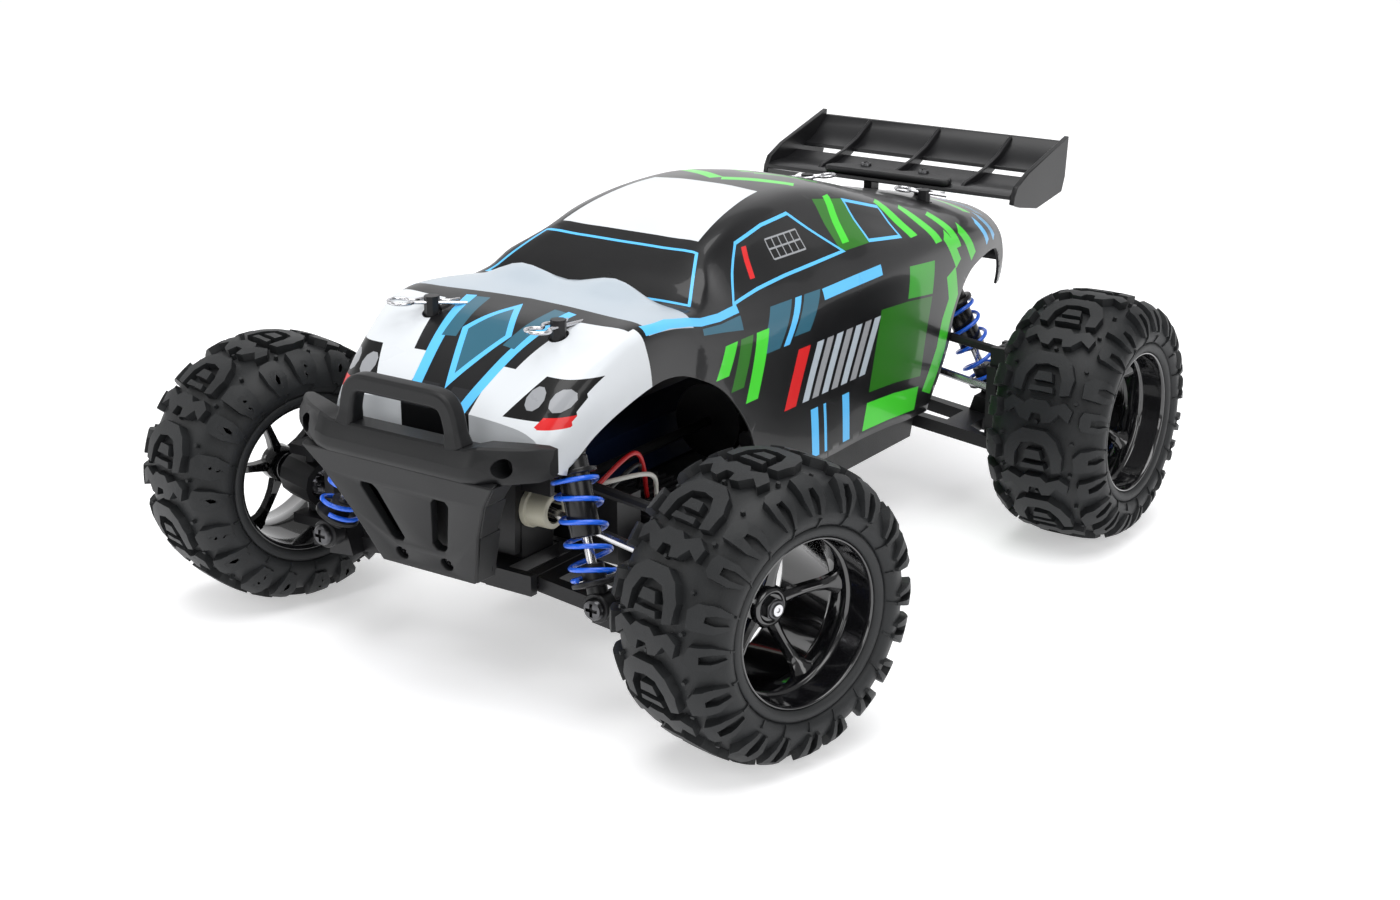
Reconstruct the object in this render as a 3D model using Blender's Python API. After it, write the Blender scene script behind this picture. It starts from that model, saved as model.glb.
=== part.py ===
"""Radio-controlled monster truck, about 1:18, four wheels driven, its front wheels steered a little.

Frame: +Z up, the floor is z = 0, the truck faces -Y and its left side is +X. The origin is on the floor,
on the centre line, midway between the two axles. Lengths below are in millimetres and are scaled to metres
when an object is made.
"""

import math

import bmesh
import bpy
from mathutils import Matrix, Vector

MM = 0.001

# ---------------------------------------------------------------- driving dimensions
WHEELBASE = 205.3
HALF_BASE = WHEELBASE / 2
WHEEL_X = 99.1            # centre line to the middle of a straight wheel
TYRE_R = 44.0
TYRE_W = 45.0
AXLE_Z = TYRE_R           # height of the wheel centres
BEAD_R = 25.8             # bore of the tyre
RIM_R = 25.5
RIM_HALF_W = 18.2

KINGPIN_INSET = 22.0      # wheel middle to steering axis
KINGPIN_X = WHEEL_X - KINGPIN_INSET
REST_STEER = math.radians(-15.0)
STEER_ARM = 16.0          # steering axis to tie-rod joint
RACK_SHIFT = -STEER_ARM * math.sin(REST_STEER)

ARM_INNER = (20.0, 34.7)  # x, z of the lower arm's pivot on the gearbox
ARM_OUTER = (66.0, 29.5)  # x, z of the lower arm's pivot on the hub carrier
LINK_INNER = (20.0, 66.0)
LINK_OUTER = (66.0, LINK_INNER[1] + ARM_OUTER[1] - ARM_INNER[1])
SHOCK_TOP = Vector((34.0, 10.7, 83.0))     # x, distance beyond the axle line, z
SHOCK_FOOT = Vector((52.5, 20.0, 37.5))
DRIVE_INNER = (17.0, 53.5)
PIN_R = 1.3
BORE_R = 1.6

CHASSIS_BASE = 28.0
SHELL_WALL = 1.2
FRONT_POST = (24.0, -103.0)
REAR_POST = (25.1, 113.7)
SHAFT_Z = 48.0
SPUR_TEETH = 44
PINION_TEETH = 12
GEAR_MODULE = 0.6

CORNERS = {"fl": (1, -1), "fr": (-1, -1), "rl": (1, 1), "rr": (-1, 1)}
SPOKE_PHASE = {"fl": 25.0, "fr": 56.0, "rl": 52.0, "rr": 20.0}   # degrees, at rest


# ---------------------------------------------------------------- shapes: (points, faces, smooth flags)
def box(low, high):
    """Axis-aligned block between two corners."""
    xs, ys, zs = zip(low, high)
    points = [Vector((x, y, z)) for x in xs for y in ys for z in zs]
    faces = [(0, 1, 3, 2), (4, 6, 7, 5), (0, 4, 5, 1), (2, 3, 7, 6), (0, 2, 6, 4), (1, 5, 7, 3)]
    return points, faces, [False] * 6


def prism(outline, axis, low, high):
    """Outline swept along one axis. The outline is given in the other two axes, in X, Y, Z order."""
    others = [i for i in range(3) if i != "xyz".index(axis)]
    points = []
    for level in (low, high):
        for a, b in outline:
            point = Vector((level, level, level))
            point[others[0]] = a
            point[others[1]] = b
            points.append(point)
    count = len(outline)
    faces = [tuple(range(count)), tuple(range(2 * count - 1, count - 1, -1))]
    faces += [(i, (i + 1) % count, count + (i + 1) % count, count + i) for i in range(count)]
    return points, faces, [False] * len(faces)


def frame_along(start, direction):
    """Matrix whose Z axis runs along the direction, placed at the start point."""
    turn = Vector((0, 0, 1)).rotation_difference(Vector(direction).normalized()).to_matrix().to_4x4()
    return Matrix.Translation(Vector(start)) @ turn


def lathe(profile, segments, matrix=None, phase=0.0):
    """Closed loop of (radius, height) points turned about Z. Radius 0 at both ends gives it poles."""
    matrix = matrix or Matrix.Identity(4)
    points, rows = [], []
    for radius, height in profile:
        if radius == 0:
            rows.append([len(points)] * segments)
            points.append(matrix @ Vector((0, 0, height)))
            continue
        rows.append(list(range(len(points), len(points) + segments)))
        for i in range(segments):
            angle = phase + 2 * math.pi * i / segments
            points.append(matrix @ Vector((radius * math.cos(angle), radius * math.sin(angle), height)))
    has_poles = profile[0][0] == 0
    pairs = list(zip(rows, rows[1:] if has_poles else rows[1:] + rows[:1]))
    faces = []
    for low, high in pairs:
        for i in range(segments):
            j = (i + 1) % segments
            corners = [low[i], low[j], high[j], high[i]]
            faces.append(tuple(dict.fromkeys(corners)))
    return points, faces, [True] * len(faces)


def rod(start, end, radius, segments=8, end_radius=None):
    """Solid round bar, or a cone when the end radius differs."""
    start, end = Vector(start), Vector(end)
    length = (end - start).length
    last = radius if end_radius is None else end_radius
    profile = [(0, 0), (radius, 0), (last, length), (0, length)]
    return lathe(profile, segments, frame_along(start, end - start))


def ball(centre, radius, segments=8, rings=4):
    """Round ball made of rings about Z."""
    profile = [(0, -radius)]
    for i in range(1, rings):
        angle = math.pi * i / rings
        profile.append((radius * math.sin(angle), -radius * math.cos(angle)))
    profile.append((0, radius))
    return lathe(profile, segments, Matrix.Translation(Vector(centre)))


def tube(path, radius, segments=8):
    """Round bar that follows a path of points, with flat ends."""
    path = [Vector(p) for p in path]
    points, faces = [], []
    side = None
    for i, here in enumerate(path):
        before = path[max(i - 1, 0)]
        after = path[min(i + 1, len(path) - 1)]
        along = (after - before).normalized()
        side = along.orthogonal() if side is None else side - along * side.dot(along)
        side.normalize()
        up = along.cross(side)
        for k in range(segments):
            angle = 2 * math.pi * k / segments
            points.append(here + radius * (math.cos(angle) * side + math.sin(angle) * up))
    for i in range(len(path) - 1):
        for k in range(segments):
            n = (k + 1) % segments
            here, after = i * segments, (i + 1) * segments
            faces.append((here + k, here + n, after + n, after + k))
    smooth = [True] * len(faces)
    last = (len(path) - 1) * segments
    faces += [tuple(range(segments - 1, -1, -1)), tuple(range(last, last + segments))]
    return points, faces, smooth + [False, False]


def moved(shape, matrix):
    points, faces, smooth = shape
    return [matrix @ p for p in points], faces, smooth


def at_corner(shape, side, end):
    """Maps (x outwards, distance beyond the axle line, z) to the truck's frame for one corner."""
    points, faces, smooth = shape
    return [Vector((side * p.x, end * (HALF_BASE + p.y), p.z)) for p in points], faces, smooth


# ---------------------------------------------------------------- objects
def mesh_of(name, shape, pivot=Vector((0, 0, 0))):
    points, faces, smooth = shape
    mesh = bpy.data.meshes.new(name)
    mesh.from_pydata([(p - pivot) * MM for p in points], [], faces)
    mesh.polygons.foreach_set("use_smooth", smooth)
    work = bmesh.new()
    work.from_mesh(mesh)
    bmesh.ops.recalc_face_normals(work, faces=work.faces)
    for edge in work.edges:
        if len(edge.link_faces) == 2 and edge.calc_face_angle(0) > math.radians(35):
            edge.smooth = False
    work.to_mesh(mesh)
    work.free()
    return mesh


def helper(name, shape):
    """Tool body for a boolean, never rendered."""
    obj = bpy.data.objects.new(name, mesh_of(name, shape))
    bpy.context.scene.collection.objects.link(obj)
    obj.hide_render = True
    obj.display_type = "WIRE"
    return obj


def paint(obj, colour, roughness, metallic=0.0):
    material = bpy.data.materials.new(obj.name)
    material.use_nodes = True
    shader = material.node_tree.nodes["Principled BSDF"]
    shader.inputs["Base Color"].default_value = (*colour, 1.0)
    shader.inputs["Roughness"].default_value = roughness
    shader.inputs["Metallic"].default_value = metallic
    material.diffuse_color = (*colour, 1.0)
    obj.data.materials.append(material)


def part(name, finish, shapes, cuts=(), pivot=(0, 0, 0)):
    """One piece: the first shape joined with the others, less the cuts. Its origin is the pivot."""
    pivot = Vector(pivot)
    obj = bpy.data.objects.new(name, mesh_of(name, shapes[0], pivot))
    obj.location = pivot * MM
    bpy.context.scene.collection.objects.link(obj)
    paint(obj, *finish)
    for operation, tools in (("UNION", shapes[1:]), ("DIFFERENCE", cuts)):
        for number, shape in enumerate(tools):
            modifier = obj.modifiers.new(f"{operation.lower()}_{number}", "BOOLEAN")
            modifier.operation = operation
            modifier.solver = "EXACT"
            modifier.object = helper(f"tool_{name}_{operation.lower()}_{number}", shape)
    return obj


BLACK_PLASTIC = ((0.022, 0.022, 0.024), 0.45)
DARK_PLASTIC = ((0.06, 0.06, 0.063), 0.55)
GLOSS_BLACK = ((0.01, 0.01, 0.012), 0.15)
RUBBER = ((0.03, 0.03, 0.032), 0.75)
STEEL = ((0.55, 0.55, 0.56), 0.3, 1.0)
BLUE_WIRE = ((0.02, 0.12, 0.72), 0.3, 0.4)
SHELL_PAINT = ((0.05, 0.33, 0.03), 0.15)
BATTERY_BLUE = ((0.03, 0.1, 0.4), 0.4)
GEAR_CREAM = ((0.62, 0.6, 0.45), 0.4)


# ---------------------------------------------------------------- wheels
def wheel_matrix(side, end):
    """Places a wheel whose Z axis is the spin axis, pointing outwards, with its middle at the origin."""
    steer = REST_STEER if end < 0 else 0.0
    kingpin = Vector((side * KINGPIN_X, end * HALF_BASE, AXLE_Z))
    outwards = Matrix.Rotation(math.radians(90 * side), 4, "Y")
    offset = Matrix.Translation(Vector((side * KINGPIN_INSET, 0, 0)))
    return Matrix.Translation(kingpin) @ Matrix.Rotation(steer, 4, "Z") @ offset @ outwards


def tyre_profile():
    """Half section from the bead over the shoulder, mirrored about the middle of the tread."""
    half = TYRE_W / 2
    outer = [
        (BEAD_R, RIM_HALF_W - 0.4),
        (BEAD_R + 2.1, RIM_HALF_W + 0.4),
        (33.0, half - 0.4),
        (39.5, half - 0.9),
        (TYRE_R, half - 9.0),
    ]
    return outer + [(r, -t) for r, t in reversed(outer)]


def spoke(index, phase):
    """Slim spoke that climbs from the sunken hub to the barrel."""
    side_view = [(4.5, -2.0), (4.5, 2.4), (14.0, 4.6), (24.2, 9.6), (24.2, 6.0), (14.0, 1.2)]
    shape = prism(side_view, "y", -2.2, 2.2)
    return moved(shape, Matrix.Rotation(math.radians(phase) + 2 * math.pi * index / 5, 4, "Z"))


def build_wheel(corner, side, end):
    place = wheel_matrix(side, end)
    middle = place.translation
    part(f"tyre_{corner}", RUBBER, [lathe(tyre_profile(), 32, place)], pivot=middle)
    barrel = [
        (RIM_R, -RIM_HALF_W), (RIM_R, RIM_HALF_W), (24.3, RIM_HALF_W),
        (23.0, 10.5), (23.0, -RIM_HALF_W),
    ]
    hub = [(0, -6.6), (5.6, -6.6), (5.6, 3.9), (0, 3.9)]
    spokes = [moved(spoke(i, SPOKE_PHASE[corner]), place) for i in range(5)]
    shapes = [lathe(barrel, 24, place), lathe(hub, 10, place)] + spokes
    bore = lathe([(0, -9), (2.35, -9), (2.35, 9), (0, 9)], 10, place)
    part(f"rim_{corner}", GLOSS_BLACK, shapes, cuts=[bore], pivot=middle)
    joint = -KINGPIN_INSET
    axle = [
        (0, joint + 3.5), (4.1, joint + 3.5), (4.1, joint - 3.0), (5.0, joint - 3.0), (5.0, joint + 5.5),
        (2.0, joint + 5.5), (2.0, -11.4), (5.2, -11.4), (5.2, -7.0), (2.0, -7.0), (2.0, 6.4), (0, 6.4),
    ]
    part(f"axle_{corner}", STEEL, [lathe(axle, 10, place)], pivot=middle)


# ---------------------------------------------------------------- suspension, in corner coordinates
def pivot_at(side, end, x, beyond, z):
    return (side * x, end * (HALF_BASE + beyond), z)


def cross_rod(x, z, radius, low, high, segments=8):
    """Round bar along Y in corner coordinates."""
    return rod((x, low, z), (x, high, z), radius, segments)


def build_arm(corner, side, end):
    """Lower arm: barrel on the gearbox, plate with a window, fork for the hub carrier, shock bracket."""
    run, rise = ARM_OUTER[0] - ARM_INNER[0], ARM_OUTER[1] - ARM_INNER[1]
    length = math.hypot(run, rise)
    slope = Matrix.Rotation(-math.atan2(rise, run), 4, "Y")
    lay = Matrix.Translation(Vector((ARM_INNER[0], 0, ARM_INNER[1]))) @ slope
    half = [(1.0, 11.4), (length - 5, 10.8), (length + 3, 10.8), (length + 3, 7.6), (length - 5, 7.6),
            (36.0, 5.0)]
    outline = half + [(x, -y) for x, y in reversed(half)]
    window = [(7.5, -7.5), (27.0, -6.5), (27.0, 6.5), (7.5, 7.5)]
    foot = lay.inverted() @ Vector((SHOCK_FOOT.x, 0, SHOCK_FOOT.z))
    bracket = [(foot.x - 5, -2.0), (foot.x + 5, -2.0), (foot.x + 3, foot.z + 1.6),
               (foot.x - 3, foot.z + 1.6)]
    shapes = [
        moved(prism(outline, "z", -2.3, 2.3), lay),
        cross_rod(*ARM_INNER, 3.2, -12.0, 12.0),
        cross_rod(*ARM_OUTER, PIN_R, -10.0, 10.0, 8),
        moved(prism(bracket, "y", 9.5, SHOCK_FOOT.y - 3.6), lay),
        cross_rod(SHOCK_FOOT.x, SHOCK_FOOT.z, PIN_R, 14.0, SHOCK_FOOT.y + 3.6),
    ]
    cuts = [moved(prism(window, "z", -9, 9), lay), cross_rod(*ARM_INNER, BORE_R, -15, 15)]
    part(f"lower_arm_{corner}", BLACK_PLASTIC, [at_corner(s, side, end) for s in shapes],
         [at_corner(s, side, end) for s in cuts], pivot_at(side, end, ARM_INNER[0], 0, ARM_INNER[1]))


def build_carrier(corner, side, end):
    """Front: a C that holds the steering knuckle. Rear: an upright with the wheel bearing in it."""
    web = (62.6, 66.4)
    shapes = [
        box((web[0], -7, ARM_OUTER[1] + 1), (web[1], 7, LINK_OUTER[1] - 3.9)),
        cross_rod(*ARM_OUTER, 3.3, -7.2, 7.2),
        box((63.2, 2.9, 55.5), (69.0, 5.7, LINK_OUTER[1] + 3)),
        box((63.2, -5.7, 55.5), (69.0, -2.9, LINK_OUTER[1] + 3)),
        cross_rod(*LINK_OUTER, PIN_R, -4.5, 4.5),
    ]
    bearing = rod((64, 0, AXLE_Z), (WHEEL_X - 12, 0, AXLE_Z), 7.6, 12)
    cuts = [
        cross_rod(*ARM_OUTER, BORE_R, -10, 10),
        rod((55, 0, AXLE_Z + 2), (70, 0, AXLE_Z + 1.4), 5.0, 8),
    ]
    if end < 0:
        shapes += [
            box((64, -6.5, 30.6), (KINGPIN_X + 4.5, 6.5, 33.8)),
            box((64, -6.5, 54.2), (KINGPIN_X + 4.5, 6.5, 57.4)),
        ]
        cuts.append(rod((KINGPIN_X, 0, 25), (KINGPIN_X, 0, 65), 1.9))
    else:
        shapes.append(bearing)
        cuts.append(rod((60, 0, AXLE_Z), (WHEEL_X, 0, AXLE_Z), 5.6, 10))
    part(f"hub_carrier_{corner}", BLACK_PLASTIC, [at_corner(s, side, end) for s in shapes],
         [at_corner(s, side, end) for s in cuts], pivot_at(side, end, ARM_OUTER[0], 0, ARM_OUTER[1]))


def build_knuckle(corner, side):
    """Steering knuckle: bearing barrel, kingpin stubs and the steering arm behind the axle."""
    kingpin = Vector((side * KINGPIN_X, -HALF_BASE, AXLE_Z))
    place = Matrix.Translation(kingpin) @ Matrix.Rotation(REST_STEER, 4, "Z")
    plate = [(-3.2 * side, 4.0), (3.2 * side, 4.0), (2.6 * side, STEER_ARM + 2.6),
             (-2.6 * side, STEER_ARM + 2.6)]
    shapes = [
        rod((-6.5 * side, 0, 0), (10.0 * side, 0, 0), 7.6, 12),
        rod((0, 0, 6.6), (0, 0, 9.8), 3.2, 8),
        rod((0, 0, -9.8), (0, 0, -6.6), 3.2, 8),
        rod((0, 0, 8), (0, 0, 13.2), 1.5, 8),
        rod((0, 0, -13.2), (0, 0, -8), 1.5, 8),
        prism(plate, "z", 5.6, 8.2),
    ]
    bore = rod((-12 * side, 0, 0), (16 * side, 0, 0), 5.6, 10)
    part(f"steering_knuckle_{corner}", BLACK_PLASTIC, [moved(s, place) for s in shapes],
         [moved(bore, place)], kingpin)


def build_link(corner, side, end):
    """Upper link with an eye at each end."""
    inner = Vector((LINK_INNER[0], 0, LINK_INNER[1]))
    outer = Vector((LINK_OUTER[0], 0, LINK_OUTER[1]))
    along = (outer - inner).normalized()
    shapes = [
        rod(inner + along * 2.2, outer - along * 2.4, 1.7, 8),
        cross_rod(*LINK_INNER, 3.0, -2.3, 2.3),
        cross_rod(*LINK_OUTER, 3.3, -2.3, 2.3),
    ]
    cuts = [cross_rod(*LINK_INNER, BORE_R, -5, 5), cross_rod(*LINK_OUTER, 2.0, -5, 5)]
    part(f"upper_link_{corner}", BLACK_PLASTIC, [at_corner(s, side, end) for s in shapes],
         [at_corner(s, side, end) for s in cuts], pivot_at(side, end, LINK_INNER[0], 0, LINK_INNER[1]))


def coil(start, along, length, radius, wire, turns, per_turn=7, sides=4):
    """Helical spring wire round an axis."""
    place = frame_along(start, along)
    steps = int(turns * per_turn)
    path = []
    for i in range(steps + 1):
        angle = 2 * math.pi * i / per_turn
        across, up = radius * math.cos(angle), radius * math.sin(angle)
        path.append(place @ Vector((across, up, length * i / steps)))
    return tube(path, wire, sides)


def build_shock(corner, side, end):
    """Shock body hung on the tower, rod standing on the arm, spring between their two cups."""
    along = (SHOCK_FOOT - SHOCK_TOP).normalized()
    reach = (SHOCK_FOOT - SHOCK_TOP).length
    hang = frame_along(SHOCK_TOP, along)
    barrel_end = 30.0
    body = [(0, 2.5), (2.6, 2.5), (4.8, 5.6), (4.8, 10.4), (6.9, 10.4), (6.9, 11.8), (4.6, 11.8),
            (4.6, barrel_end), (1.9, barrel_end), (1.9, 13.0), (0, 13.0)]
    eye = cross_rod(SHOCK_TOP.x, SHOCK_TOP.z, 3.7, SHOCK_TOP.y - 2.4, SHOCK_TOP.y + 2.4)
    shapes = [lathe(body, 10, hang), eye]
    cuts = [cross_rod(SHOCK_TOP.x, SHOCK_TOP.z, BORE_R, SHOCK_TOP.y - 6, SHOCK_TOP.y + 6)]
    top = pivot_at(side, end, *SHOCK_TOP)
    part(f"shock_body_{corner}", BLACK_PLASTIC, [at_corner(s, side, end) for s in shapes],
         [at_corner(s, side, end) for s in cuts], top)
    cup = reach - 7.5
    stem = [(0, 21.0), (1.5, 21.0), (1.5, 37.6), (3.4, 37.6), (3.4, cup), (7.0, cup), (7.0, cup + 1.4),
            (3.0, cup + 1.8), (3.0, reach - 1.5), (0, reach - 1.5)]
    shapes = [
        lathe(stem, 10, hang),
        cross_rod(SHOCK_FOOT.x, SHOCK_FOOT.z, 4.5, SHOCK_FOOT.y - 2.5, SHOCK_FOOT.y + 2.5, 10),
    ]
    cuts = [cross_rod(SHOCK_FOOT.x, SHOCK_FOOT.z, 2.5, SHOCK_FOOT.y - 6, SHOCK_FOOT.y + 6)]
    part(f"shock_rod_{corner}", BLACK_PLASTIC, [at_corner(s, side, end) for s in shapes],
         [at_corner(s, side, end) for s in cuts], pivot_at(side, end, *SHOCK_FOOT))
    wire = 0.65
    low = 11.8 + wire + 0.3
    high = cup - wire - 0.3
    spring = coil(SHOCK_TOP + along * low, along, high - low, 6.2, wire, 5.75)
    part(f"spring_{corner}", BLUE_WIRE, [at_corner(spring, side, end)], pivot=top)


def build_dogbone(corner, side, end):
    """Drive shaft with a ball in the gearbox cup and one in the wheel axle's cup."""
    inner = Vector((DRIVE_INNER[0], 0, DRIVE_INNER[1]))
    outer = Vector((KINGPIN_X, 0, AXLE_Z))
    shapes = [rod(inner, outer, 1.5, 10), ball(inner, 2.4), ball(outer, 2.4)]
    part(f"dogbone_{corner}", STEEL, [at_corner(s, side, end) for s in shapes],
         pivot=pivot_at(side, end, DRIVE_INNER[0], 0, DRIVE_INNER[1]))


# ---------------------------------------------------------------- steering
RACK_Y = -HALF_BASE + STEER_ARM * math.cos(REST_STEER)
RACK_Z = 55.6
RACK_HALF = 13.0
HORN_PIVOT = Vector((10.0, -83.6, 39.2))


def build_steering():
    part("servo", BLACK_PLASTIC, [box((5.2, -81.6, 31.0), (28.4, -69.4, 52.0)),
                                  box((5.2, -79.0, 51.0), (9.0, -75.0, 54.0))])
    swing = Matrix.Translation(HORN_PIVOT) @ Matrix.Rotation(-REST_STEER, 4, "Y")
    outline = [(-3.4, -3.6), (3.4, -3.6), (3.5, 1.0), (2.0, STEER_ARM + 2.0), (-2.0, STEER_ARM + 2.0),
               (-3.5, 1.0)]
    shapes = [
        prism(outline, "y", -1.2, 1.2),
        rod((0, 0.8, 0), (0, 1.7, 0), 3.0),
        rod((0, -0.8, STEER_ARM), (0, -5.0, STEER_ARM), 1.2, 10),
    ]
    part("servo_horn", BLACK_PLASTIC, [moved(s, swing) for s in shapes], pivot=HORN_PIVOT)
    left, right = RACK_SHIFT + RACK_HALF, RACK_SHIFT - RACK_HALF
    pin_x = HORN_PIVOT.x + RACK_SHIFT
    bar = box((right, RACK_Y - 2.1, 51.6), (left, RACK_Y + 1.9, 59.2))
    stubs = [rod((left - 1, RACK_Y, RACK_Z), (left + 2.6, RACK_Y, RACK_Z), 1.3, 10),
             rod((right + 1, RACK_Y, RACK_Z), (right - 2.6, RACK_Y, RACK_Z), 1.3, 10)]
    slot = box((pin_x - 1.7, RACK_Y - 6, 52.0), (pin_x + 1.7, RACK_Y + 6, 57.0))
    part("steering_rack", BLACK_PLASTIC, [bar] + stubs, [slot], (RACK_SHIFT, RACK_Y, RACK_Z))
    for corner, side in (("fl", 1), ("fr", -1)):
        inner = Vector((RACK_SHIFT + side * (RACK_HALF + 3.4), RACK_Y, RACK_Z))
        outer = Vector((RACK_SHIFT + side * KINGPIN_X, RACK_Y, RACK_Z + 0.6))
        along = (outer - inner).normalized()
        shapes = [
            rod(inner + along * 1.5, outer - along * 2.0, 1.5, 8),
            rod(inner - along * 0.3, inner + along * 6.5, 2.6, 10),
            rod(outer - Vector((0, 0, 1.9)), outer + Vector((0, 0, 1.9)), 2.7, 12),
        ]
        part(f"tie_rod_{corner}", BLACK_PLASTIC, [shapes[1], shapes[0], shapes[2]], pivot=inner)


# ---------------------------------------------------------------- chassis
def build_chassis():
    """Tub with low walls and a sloping nose and tail that carry the gearboxes."""
    base = CHASSIS_BASE
    channel = [(-38.6, base + 10.6), (-37.0, base), (37.0, base), (38.6, base + 10.6), (36.8, base + 10.6),
               (35.4, base + 2.4), (-35.4, base + 2.4), (-36.8, base + 10.6)]
    shapes = [prism(channel, "y", -74.0, 87.0)]
    nose = [(-72, base + 0.4), (-110, base + 0.4), (-116, 31.0), (-72, 31.0)]
    shapes.append(prism(nose, "x", -12.0, 12.0))
    shapes.append(prism([(-y, z) for y, z in nose], "x", -12.0, 12.0))
    part("chassis_pan", BLACK_PLASTIC, shapes)


def build_gearbox(name, end):
    """Gearbox with drive cups, pivot pins for the lower arms and ears for the upper links."""
    side_view = [(-10.0, 32.0), (-10.0, 58.0), (-6.0, 64.0), (5.0, 64.0), (5.0, 31.4), (-4.0, 31.4)]
    foot = box((-12.4, -14.6, 31.7), (12.4, 14.6, 37.9))
    snout = rod((0, -9.5, SHAFT_Z), (0, -12.9, SHAFT_Z), 5.0, 10)
    shapes = [prism(side_view, "x", -12.0, 12.0), foot, snout]
    cuts = [rod((0, -20, SHAFT_Z), (0, -8.0, SHAFT_Z), 2.2, 8)]
    for side in (1, -1):
        shapes.append(rod((10 * side, 0, DRIVE_INNER[1]), (20.6 * side, 0, DRIVE_INNER[1]), 5.1, 10))
        cuts.append(rod((13.6 * side, 0, DRIVE_INNER[1]), (24 * side, 0, DRIVE_INNER[1]), 3.9, 10))
        for ear in ((12.5, 15.3), (-15.3, -12.5)):
            shapes.append(box_between((6 * side, ear[0], 31.8), (23.4 * side, ear[1], 38.2)))
        arm_x, link_x = ARM_INNER[0] * side, LINK_INNER[0] * side
        shapes.append(rod((arm_x, -14, ARM_INNER[1]), (arm_x, 14, ARM_INNER[1]), PIN_R))
        shapes.append(box_between((8 * side, 2.9, 60.0), (23.2 * side, 4.9, 69.0)))
        shapes.append(box_between((8 * side, -4.9, 60.0), (23.2 * side, -2.9, 69.0)))
        shapes.append(rod((link_x, -4, LINK_INNER[1]), (link_x, 4, LINK_INNER[1]), PIN_R))
    part(name, BLACK_PLASTIC, [at_corner(s, 1, end) for s in shapes],
         [at_corner(s, 1, end) for s in cuts])


def box_between(a, b):
    low = [min(p, q) for p, q in zip(a, b)]
    high = [max(p, q) for p, q in zip(a, b)]
    return box(low, high)


def mirrored(half):
    """Closes a half outline, given from bottom to top on the +X side, with its mirror image."""
    return half + [(-x, z) for x, z in reversed(half)]


def build_tower(name, end, posts):
    """Shock tower plate on the outer face of the gearbox, with a stud for each shock."""
    plate = mirrored([(11.5, 40.0), (12.5, 62.0), (22.0, 71.0), (33.5, 79.0), (38.5, 83.0), (35.0, 87.6),
                      (14.0, 86.0)])
    shapes = [prism(plate, "y", 5.3, 7.9)]
    for side in (1, -1):
        x = SHOCK_TOP.x * side
        shapes.append(rod((x, 6.6, SHOCK_TOP.z), (x, SHOCK_TOP.y + 3.4, SHOCK_TOP.z), PIN_R))
        if posts:
            post_x, post_y = FRONT_POST
            beyond = -post_y - HALF_BASE
            x = post_x * side
            shapes.append(box_between((x - 4, beyond - 3, 82.4), (x + 4, 6.4, 85.6)))
            shapes.append(rod((x, beyond, 84.0), (x, beyond, 113.4), 2.4))
    part(name, BLACK_PLASTIC, [at_corner(s, 1, end) for s in shapes])


def build_rear_mount():
    """Bridge on the rear tower with two body posts and two uprights that hold the wing."""
    post_x, post_y = REAR_POST
    shapes = [box((-29, 107.5, 88.4), (29, 118, 91.2))]
    for side in (1, -1):
        shapes.append(rod((post_x * side, post_y, 90.0), (post_x * side, post_y, 113.6), 2.4))
        shapes.append(box_between((9 * side, 116, 88.7), (13 * side, 141, 91.0)))
        shapes.append(box_between((9.3 * side, 135, 90), (12.7 * side, 140.6, 109.7)))
    part("wing_mount", BLACK_PLASTIC, shapes)


def build_bumper():
    """Cross beam with swept horns, a raked skid plate below it and a bull bar on top."""
    beam = [(30, -150.2), (43, -142.5), (47.2, -137.0), (45.0, -133.4), (28, -140.5)]
    beam += [(-x, y) for x, y in reversed(beam)]
    shapes = [prism(beam, "z", 76.0, 87.9)]
    lower = mirrored([(17.8, 40.6), (24.5, 58.0), (30.5, 70.0), (36.0, 77.2)])
    front = [Vector((x, skid_y(z), z)) for x, z in lower]
    back = [p + Vector((0, 3.2, 0)) for p in front]
    count = len(front)
    faces = [tuple(range(count)), tuple(range(2 * count - 1, count - 1, -1))]
    faces += [(i, (i + 1) % count, count + (i + 1) % count, count + i) for i in range(count)]
    shapes.append((front + back, faces, [False] * len(faces)))
    bar = [(-19.5, -144.4, 86.5), (-18.6, -144.4, 93.5), (-16.4, -144.4, 97.6), (-12.0, -144.4, 98.6),
           (12.0, -144.4, 98.6), (16.4, -144.4, 97.6), (18.6, -144.4, 93.5), (19.5, -144.4, 86.5)]
    shapes.append(tube(bar, 2.7, 8))
    cuts = []
    for side in (1, -1):
        shapes.append(box_between((8 * side, -138.4, 41.6), (11.4 * side, -110.9, 46.0)))
        shapes.append(box_between((5 * side, -146, 70.0), (9 * side, -112.4, 74.4)))
        cuts.append(rod((36.8 * side, -160, 82.2), (36.8 * side, -130, 82.2), 2.2, 10))
        cuts.append(rod((8.6 * side, -160, 45.0), (8.6 * side, -128, 45.0), 1.5, 10))
        slot = [(7.0 * side, 52.0), (10.5 * side, 52.0), (16.5 * side, 66.5), (11.5 * side, 66.5)]
        cuts.append(prism(slot, "y", -160, -136))
    part("front_bumper", DARK_PLASTIC, shapes, cuts)


def skid_y(z):
    """Front face of the skid plate: it leans back towards its foot."""
    top, foot = (77.2, -149.4), (40.6, -136.4)
    return foot[1] + (z - foot[0]) * (top[1] - foot[1]) / (top[0] - foot[0])


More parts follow.
